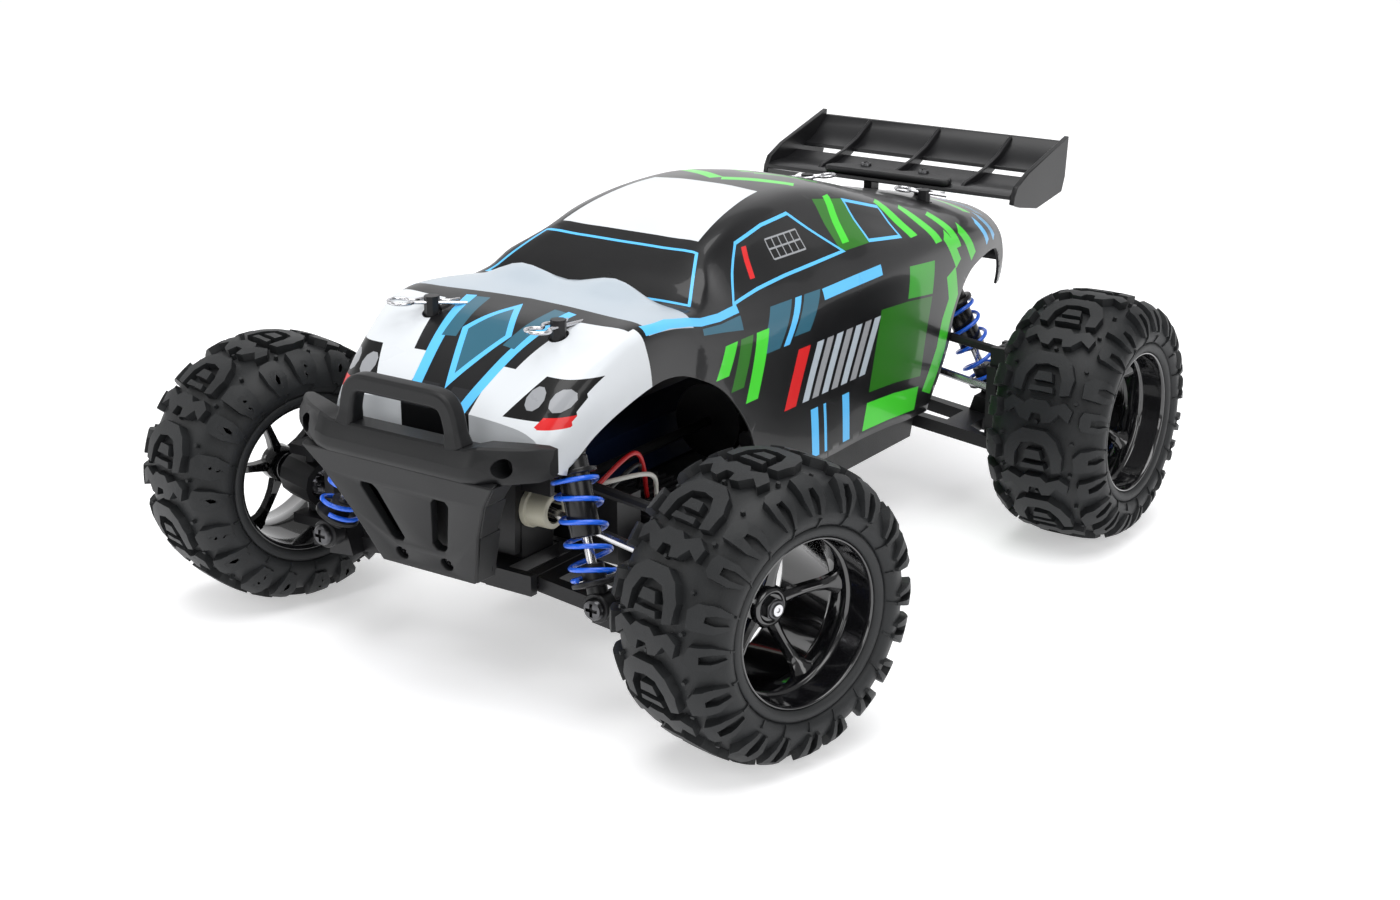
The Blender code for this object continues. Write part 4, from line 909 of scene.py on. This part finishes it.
def build_shock(corner, side, end):
    """Oil shock: capped body with its collar, steel rod, lower cup and eye, and the coil spring."""
    put = corner_matrix(side, end)
    hang = put @ frame_along(SHOCK_TOP, SHOCK_FOOT - SHOCK_TOP)
    work = bmesh.new()
    lathe(work, [(0, 2.2), (2.8, 2.2), (3.4, 2.8), (4.9, 4.6), (4.9, 5.6), (4.5, 5.9), (4.5, 6.6), (4.9, 6.9),
                 (4.9, 10.2), (6.7, 10.3), (6.9, 10.6), (6.9, 11.5), (6.7, 11.7), (4.6, 11.8), (4.6, 29.2),
                 (4.2, 29.9), (1.7, 30.0), (1.7, 26.0), (0, 26.0)], 44, hang, closed=False)
    lying = Matrix.Rotation(-math.pi / 2, 4, "X")
    eye_at = put @ Matrix.Translation(SHOCK_TOP) @ lying
    lathe(work, [(1.7, -2.3), (3.4, -2.3), (3.7, -1.9), (3.7, 1.9), (3.4, 2.3), (1.7, 2.3)], 32, eye_at)
    make(f"shock_tube_{corner}", work, [SHOCK_GLOSS], f"shock_{corner}", 35.0, [f"shock_body_{corner}"])
    work = bmesh.new()
    lathe(work, [(1.45, 22.0), (1.45, 38.0), (0, 38.0), (0, 22.0)], 24, hang, closed=False)
    make(f"shock_stem_{corner}", work, [STEEL], f"shock_rod_{corner}", 35.0)
    work = bmesh.new()
    lathe(work, [(1.5, 37.6), (3.2, 37.6), (3.5, 38.0), (3.5, SHOCK_CUP - 0.2), (6.7, SHOCK_CUP),
                 (7.0, SHOCK_CUP + 0.3), (7.0, SHOCK_CUP + 1.2), (6.7, SHOCK_CUP + 1.5),
                 (3.1, SHOCK_CUP + 1.9), (3.1, SHOCK_REACH - 2.6), (1.5, SHOCK_REACH - 2.6)], 36, hang)
    foot_at = put @ Matrix.Translation(SHOCK_FOOT) @ lying
    lathe(work, [(2.3, -2.5), (4.2, -2.5), (4.5, -2.1), (4.5, 2.1), (4.2, 2.5), (2.3, 2.5)], 36, foot_at)
    make(f"shock_foot_{corner}", work, [PLASTIC], f"shock_rod_{corner}", 35.0, [f"shock_rod_{corner}"])
    path, wire = spring_path(hang)
    work = bmesh.new()
    sweep(work, path, wire, 10)
    spring = make(f"spring_coil_{corner}", work, [SPRING_BLUE], None, 60.0)
    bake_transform(spring)
    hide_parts(f"spring_{corner}")
    outward = put.to_3x3() @ Vector((0, 1, 0))
    build_screw(f"shock_screw_{corner}", put @ (SHOCK_FOOT + Vector((0, 2.6, 0))), outward, 3.3, DARK_STEEL,
                f"shock_rod_{corner}")
    build_screw(f"tower_screw_{corner}", put @ (SHOCK_TOP + Vector((0, 3.4, 0))), outward, 2.6, DARK_STEEL,
                "chassis")


def build_suspension_fixings(corner, side, end):
    """Steel hinge pins, ball stud and the cream cup that the drive shaft leaves the gearbox by."""
    put = corner_matrix(side, end)
    work = bmesh.new()
    for face, way in ((14.0, 1), (-14.0, -1)):
        place = put @ frame_along((ARM_INNER[0], face, ARM_INNER[1]), (0, way, 0))
        lathe(work, [(0, 0), (1.6, 0), (1.6, 0.5), (1.2, 0.9), (0, 0.9)], 20, place, closed=False)
    make(f"arm_pin_ends_{corner}", work, [STEEL], "chassis", 35.0)
    work = bmesh.new()
    cup = put @ frame_along((12.2, 0, DRIVE_INNER[1]), (1, 0, 0))
    cup_wall = [(5.2, 0), (6.3, 0), (6.3, 1.6), (5.6, 2.0), (5.45, 8.6), (5.1, 8.9), (3.8, 8.9), (3.8, 2.0)]
    lathe(work, cup_wall, 36, cup)
    make(f"drive_cup_{corner}", work, [NYLON], "chassis", 35.0)
    work = bmesh.new()
    stud = put @ frame_along((LINK_OUTER[0], -2.4, LINK_OUTER[1]), (0, 1, 0))
    dome = [(0, -1.0)] + [(2.0 * math.sin(math.pi * k / 12), 2.4 - 2.0 * math.cos(math.pi * k / 12))
                          for k in range(3, 12)] + [(0, 4.4)]
    lathe(work, dome, 24, stud, closed=False)
    make(f"link_ball_{corner}", work, [STEEL], f"link_{corner}", 50.0)


# ---------------------------------------------------------------- bumper
SKID_FOOT, SKID_TOP = 40.6, 77.2


def skid_y(z):
    """Front face of the skid plate: it leans back towards its foot."""
    return -136.4 + (z - SKID_FOOT) * (-149.4 + 136.4) / (SKID_TOP - SKID_FOOT)


def beam_section(x):
    """(y, z) section of the cross beam. Its ears sweep back and stand a little taller than its middle."""
    away = abs(x)
    stops = [(0, -150.2, -140.5, 86.3, 76.0), (25, -150.2, -140.5, 86.3, 76.0),
             (29.5, -150.0, -140.3, 87.8, 76.6), (38, -145.6, -136.8, 87.8, 77.4),
             (44.5, -140.8, -134.2, 87.6, 78.0), (47.2, -137.6, -133.8, 87.0, 79.0)]
    for first, last in zip(stops, stops[1:]):
        if away <= last[0]:
            share = (away - first[0]) / (last[0] - first[0])
            break
    front, back, top, foot = (a + (b - a) * share for a, b in zip(first[1:], last[1:]))
    high = top - foot
    return [(front + 1.8, foot), (front + 0.2, foot + high * 0.2), (front, foot + high * 0.3),
            (front + 0.1, foot + high * 0.55), (front + 1.5, foot + high * 0.74),
            (front + 2.2, foot + high * 0.94), (front + 3.0, top), (back, top), (back, foot + 1.0)]


def build_bumper():
    """Cross beam with swept ears, and below it a raked skid plate with flanges and slots."""
    left = [8, 16, 25, 27, 29.5, 34, 38, 41, 44.5, 46.6, 47.2]
    xs = [-x for x in reversed(left)] + [0] + left
    work = bmesh.new()
    made = ring_rows(work, [[Vector((x, y, z)) for y, z in beam_section(x)] for x in xs])
    cap_ends(work, made)
    beam = make("bumper_beam", work, [BUMPER_PLASTIC], None, 30.0)
    holes = bmesh.new()
    for side in (1, -1):
        add_rod(holes, (36.8 * side, -160, 82.4), (36.8 * side, -139.6, 82.4), 2.7, 24)
    carve(beam, holes)
    soften(beam, 0.5)
    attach(beam, "chassis")
    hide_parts("front_bumper")
    half = [(17.8, SKID_FOOT), (24.5, 58.0), (30.5, 70.0), (36.0, SKID_TOP)]
    lower = half + [(-x, z) for x, z in reversed(half)]
    lean = Vector((0, skid_y(SKID_TOP) - skid_y(SKID_FOOT), SKID_TOP - SKID_FOOT)).normalized()
    normal = Vector((1, 0, 0)).cross(lean)
    place = Matrix(((1, lean.x, normal.x, 0),
                    (0, lean.y, normal.y, skid_y(SKID_FOOT)),
                    (0, lean.z, normal.z, SKID_FOOT),
                    (0, 0, 0, 1)))
    flat = [(x, (z - SKID_FOOT) / lean.z) for x, z in lower]
    inward = 3.0 if normal.y > 0 else -3.0
    work = bmesh.new()
    slab(work, flat, place, inward)
    plate = make("skid_plate", work, [BUMPER_PLASTIC], None, 30.0)
    cuts = bmesh.new()
    for side in (1, -1):
        slot = [(5.4, 11.5), (6.6, 9.8), (9.4, 9.8), (10.8, 11.4), (16.6, 28.0), (15.8, 29.6), (11.6, 29.6),
                (10.2, 28.0)]
        slab(cuts, [(side * a, b) for a, b in slot], place @ Matrix.Translation((0, 0, -4)), 10)
        slab(cuts, circle((8.6 * side, 4.9), 2.2), place @ Matrix.Translation((0, 0, -4)), 10)
    carve(plate, cuts)
    soften(plate, 0.45)
    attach(plate, "chassis")
    work = bmesh.new()
    for side in (1, -1):
        for (x0, z0), (x1, z1) in zip(half, half[1:]):
            rim = [Vector((side * x, skid_y(z) + back, z)) for x, z, back in
                   ((x0, z0, 1.0), (x1, z1, 1.0), (x1, z1, 10.5), (x0, z0, 9.0))]
            inner = [p - Vector((side * 2.0, 0, 0)) for p in rim]
            add_box_faces(work, rim + inner)
    make("skid_flanges", work, [BUMPER_PLASTIC], "chassis", 30.0, bevel=0.3)
    work = bmesh.new()
    back = [Vector((x, skid_y(z) + 7.5, z)) for x, z in ((-19, 43), (19, 43), (27, 73), (-27, 73))]
    add_box_faces(work, back + [point + Vector((0, 1.6, 0)) for point in back])
    make("bumper_brace", work, [PLASTIC], "chassis", 30.0)
    for side in (1, -1):
        middle = place @ Vector((8.6 * side, 4.9, inward * 0.85))
        build_screw(f"skid_screw_{'l' if side > 0 else 'r'}", middle, -normal if inward > 0 else normal, 2.0,
                    DARK_STEEL, "chassis")
    build_bull_bar()


def build_bull_bar():
    """Hoop of rounded square bar on the beam, with spread feet."""
    half = [(20.6, 85.4), (20.0, 88.0), (19.3, 92.0), (18.2, 95.6), (16.4, 97.7), (13.6, 98.5), (8.0, 98.6)]
    right = [Vector((-x, -144.6, z)) for x, z in half]
    left = [Vector((x, -144.6, z)) for x, z in reversed(half)]
    path = smooth_path(right + left, 4)
    rows = []
    for i, here in enumerate(path):
        along = (path[min(i + 1, len(path) - 1)] - path[max(i - 1, 0)]).normalized()
        out = Vector((-along.z, 0, along.x))
        spread = 1.0 + 0.25 * max(0.0, (90.0 - here.z) / 5.0)
        section = [(2.7, 1.9), (1.9, 2.9), (-1.9, 2.9), (-2.7, 1.9), (-2.7, -1.9), (-1.9, -2.9), (1.9, -2.9),
                   (2.7, -1.9)]
        rows.append([here + out * a * spread + Vector((0, b * spread, 0)) for a, b in section])
    work = bmesh.new()
    made = ring_rows(work, rows)
    cap_ends(work, made)
    make("bull_bar", work, [BUMPER_PLASTIC], "chassis", 50.0, bevel=0.35)


# ---------------------------------------------------------------- wing
def extrude_x(work, outline, low, high):
    """Prism of a (y, z) outline between two x values."""
    made = ring_rows(work, [[Vector((x, y, z)) for y, z in outline] for x in (low, high)])
    cap_ends(work, made)


def build_wing():
    """Two-plane wing: cambered front deck, raised flap with a lip, ribs and pointed end plates."""
    deck = [(128.0, 110.6), (128.6, 111.8), (131.0, 112.5), (136.0, 112.6), (141.0, 112.4), (146.0, 113.0),
            (151.0, 114.4), (151.2, 113.4), (146.0, 111.6), (141.0, 110.6), (134.0, 110.0), (129.5, 110.0)]
    flap = [(155.8, 115.0), (156.2, 116.2), (160.0, 117.0), (164.4, 118.9), (168.6, 121.8), (171.8, 125.0),
            (173.0, 125.2), (172.8, 123.6), (169.4, 120.4), (165.0, 117.4), (160.4, 115.4), (157.0, 114.6)]
    rib = [(131.0, 112.0), (134.0, 113.6), (150.0, 116.4), (160.0, 119.6), (170.8, 125.2), (171.0, 123.6),
           (163.0, 117.0), (152.0, 112.2)]
    end_plate = [(128.2, 108.6), (128.8, 111.4), (131.0, 114.8), (140.0, 118.6), (173.0, 127.2),
                 (171.4, 112.0), (169.0, 106.6), (148.0, 103.8), (134.0, 106.6)]
    work = bmesh.new()
    extrude_x(work, deck, -52.4, 52.4)
    make("wing_deck", work, [WING_PLASTIC], "chassis", 40.0, ["rear_wing"], bevel=0.2)
    work = bmesh.new()
    extrude_x(work, flap, -52.4, 52.4)
    make("wing_flap", work, [WING_PLASTIC], "chassis", 40.0, bevel=0.2)
    work = bmesh.new()
    for x in (-31.0, 0.0, 31.0):
        extrude_x(work, rib, x - 0.8, x + 0.8)
    for side in (1, -1):
        extrude_x(work, end_plate, *sorted((side * 52.3, side * 54.3)))
    make("wing_ribs_and_ends", work, [WING_PLASTIC], "chassis", 40.0, bevel=0.3)
    work = bmesh.new()
    pad = [(-27, 129.5), (-25, 127.9), (25, 127.9), (27, 129.5), (26, 133.5), (17, 137.8), (10, 139.2),
           (4, 135.4), (-4, 135.4), (-10, 139.2), (-17, 137.8), (-26, 133.5)]
    slab(work, pad, Matrix.Translation((0, 0, 112.2)), 2.4)
    make("wing_clamp", work, [PLASTIC], "chassis", 40.0, bevel=0.8)
    for side in (1, -1):
        build_screw(f"wing_screw_{'l' if side > 0 else 'r'}", (12.5 * side, 136.0, 114.6), (0, 0, 1), 2.1,
                    DARK_STEEL, "chassis")


# ---------------------------------------------------------------- clips and insides
def build_clip(name, post, top, turn, size):
    """Spring-steel body clip pushed through a post: straight leg, looped end and bowed leg."""
    flat = [(-8.4, 0.7), (-2.0, 0.7), (4.0, 0.9)]
    loop = [math.radians(k) for k in range(150, -151, -20)]
    flat += [(7.6 + 2.9 * math.cos(a), 2.9 * math.sin(a)) for a in loop]
    flat += [(3.6, -1.6), (1.6, -3.2), (-0.8, -3.4), (-3.0, -1.6), (-5.0, -1.7), (-7.2, -3.0)]
    place = Matrix.Translation((post[0], post[1], top)) @ Matrix.Rotation(math.radians(turn), 4, "Z")
    path = smooth_path([place @ Vector((a * size, b * size, 0.10 * a)) for a, b in flat], 4)
    work = bmesh.new()
    sweep(work, path, 0.6, 10)
    make(name, work, [STEEL], "chassis", 60.0)


def build_clips():
    """The front clips point their loops forwards, the rear ones outwards."""
    for side, letter in ((1, "l"), (-1, "r")):
        front, rear = (FRONT_POST[0] * side, FRONT_POST[1]), (REAR_POST[0] * side, REAR_POST[1])
        build_clip(f"clip_front_{letter}", front, 111.4, -90 - 20 * (1 - side), 1.25)
        build_clip(f"clip_rear_{letter}", rear, 112.6, 200 if side > 0 else 20, 1.0)


def build_insides():
    """Speed control with cooling fins, and the leads that leave it towards the front."""
    work = bmesh.new()
    add_block(work, (6.0, -66.0, 31.2), (31.0, -34.0, 42.0))
    for k in range(7):
        add_block(work, (8.0 + 3.3 * k, -62.0, 41.8), (9.4 + 3.3 * k, -38.0, 46.0))
    make("speed_control", work, [PLASTIC], "chassis", 35.0, bevel=0.3)
    leads = [("lead_red", WIRE_RED, (24.0, -60.0), (30.5, -75.0, 66.0), (27.5, -95.4, 58.0)),
             ("lead_black", WIRE_BLACK, (20.0, -60.0), (29.0, -72.0, 61.0), (25.5, -93.6, 52.0)),
             ("lead_white", WIRE_WHITE, (27.0, -59.0), (32.5, -70.0, 58.0), (29.0, -88.0, 60.0))]
    for name, finish, start, bend, finish_at in leads:
        points = [Vector((start[0], start[1], 40.0)), Vector((start[0], start[1], 47.0)), Vector(bend),
                  Vector(finish_at), Vector((finish_at[0] - 9.0, finish_at[1] - 1.5, finish_at[2] - 4.0))]
        path = smooth_path(points, 14)
        work = bmesh.new()
        sweep(work, path, 0.75, 12)
        lead = make(name, work, [finish], "chassis", 60.0)


# ---------------------------------------------------------------- camera, floor, light
# The backdrop is turned square to the camera.
CAMERA_TURN = math.radians(34.28)


def aim(obj, target):
    direction = Vector(target) - obj.location
    obj.rotation_mode = "QUATERNION"
    obj.rotation_quaternion = direction.to_track_quat("-Z", "Y")


def build_camera():
    bpy.context.scene.view_settings.view_transform = "Standard"
    camera = bpy.data.objects.new("camera", bpy.data.cameras.new("camera"))
    bpy.context.scene.collection.objects.link(camera)
    camera.data.lens = 56.03
    camera.data.sensor_width = 36.0
    elevation = math.radians(18.77)
    back = Vector((math.sin(CAMERA_TURN) * math.cos(elevation),
                   -math.cos(CAMERA_TURN) * math.cos(elevation), math.sin(elevation)))
    camera.location = Vector((399.8, -581.7, 279.9)) * MM
    camera.rotation_mode = "QUATERNION"
    camera.rotation_quaternion = (-back).to_track_quat("-Z", "Y")
    bpy.context.scene.camera = camera


def build_stage():
    work = bmesh.new()
    sweep_up = [(-30.0, 0.0), (2.2, 0.0), (2.6, 0.05), (2.9, 0.25), (3.1, 0.6), (3.2, 1.2), (3.2, 3.2)]
    rows = [[Vector((x, y, z)) / MM for x in (-30.0, -6.0, 6.0, 30.0)] for y, z in sweep_up]
    ring_rows(work, rows, closed_round=False)
    white = material("studio floor", (0.86, 0.86, 0.87), 0.85, mottle=0.015, patch=4)
    floor = make("studio_floor", work, [white], None, 60.0)
    shader = white.node_tree.nodes["Principled BSDF"]
    shader.inputs["Emission Color"].default_value = (1, 1, 1, 1)
    shader.inputs["Emission Strength"].default_value = 0.42
    floor.rotation_euler = (0, 0, CAMERA_TURN)


def add_light(name, location, target, size, watts, colour=(1, 1, 1)):
    light = bpy.data.objects.new(name, bpy.data.lights.new(name, "AREA"))
    bpy.context.scene.collection.objects.link(light)
    light.data.shape = "RECTANGLE"
    light.data.size, light.data.size_y = size
    light.data.energy = watts
    light.data.color = colour
    light.location = Vector(location)
    aim(light, target)


def build_lights():
    world = bpy.data.worlds.new("studio")
    bpy.context.scene.world = world
    world.use_nodes = True
    background = world.node_tree.nodes["Background"]
    background.inputs["Color"].default_value = (1, 1, 1, 1)
    background.inputs["Strength"].default_value = 0.34
    add_light("top_softbox", (0.1, -0.1, 1.3), (0, 0, 0.05), (1.3, 1.3), 17)
    add_light("left_softbox", (1.4, -0.5, 0.7), (0, 0, 0.06), (0.9, 0.9), 6)
    add_light("front_softbox", (0.35, -1.5, 0.45), (0, -0.1, 0.06), (0.8, 0.5), 3)
    add_light("right_softbox", (-1.2, -1.0, 0.8), (0, -0.05, 0.06), (0.9, 0.9), 5)


# ---------------------------------------------------------------- build
def dress_cad_nodes():
    """Gives each CAD node that stays visible its material and rounded edges."""
    finishes = {"motor_pinion": DARK_STEEL, "motor": DARK_STEEL, "centre_shaft": PLASTIC,
                "battery": BATTERY_WRAP, "dogbone": STEEL, "spring": SPRING_BLUE,
                "front_bumper": BUMPER_PLASTIC, "rear_wing": WING_PLASTIC}
    for name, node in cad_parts.items():
        finish = next((m for key, m in finishes.items() if name.startswith(key)), PLASTIC)
        node.data.materials.clear()
        node.data.materials.append(finish)
        soften(node, 0.3)


def main():
    dress_cad_nodes()
    for corner, (side, end) in CORNERS.items():
        build_tyre(corner, side, end)
        build_rim(corner, side, end)
        build_shock(corner, side, end)
        build_suspension_fixings(corner, side, end)
    build_shell()
    build_bumper()
    build_wing()
    build_clips()
    build_insides()
    build_camera()
    build_stage()
    build_lights()


main()
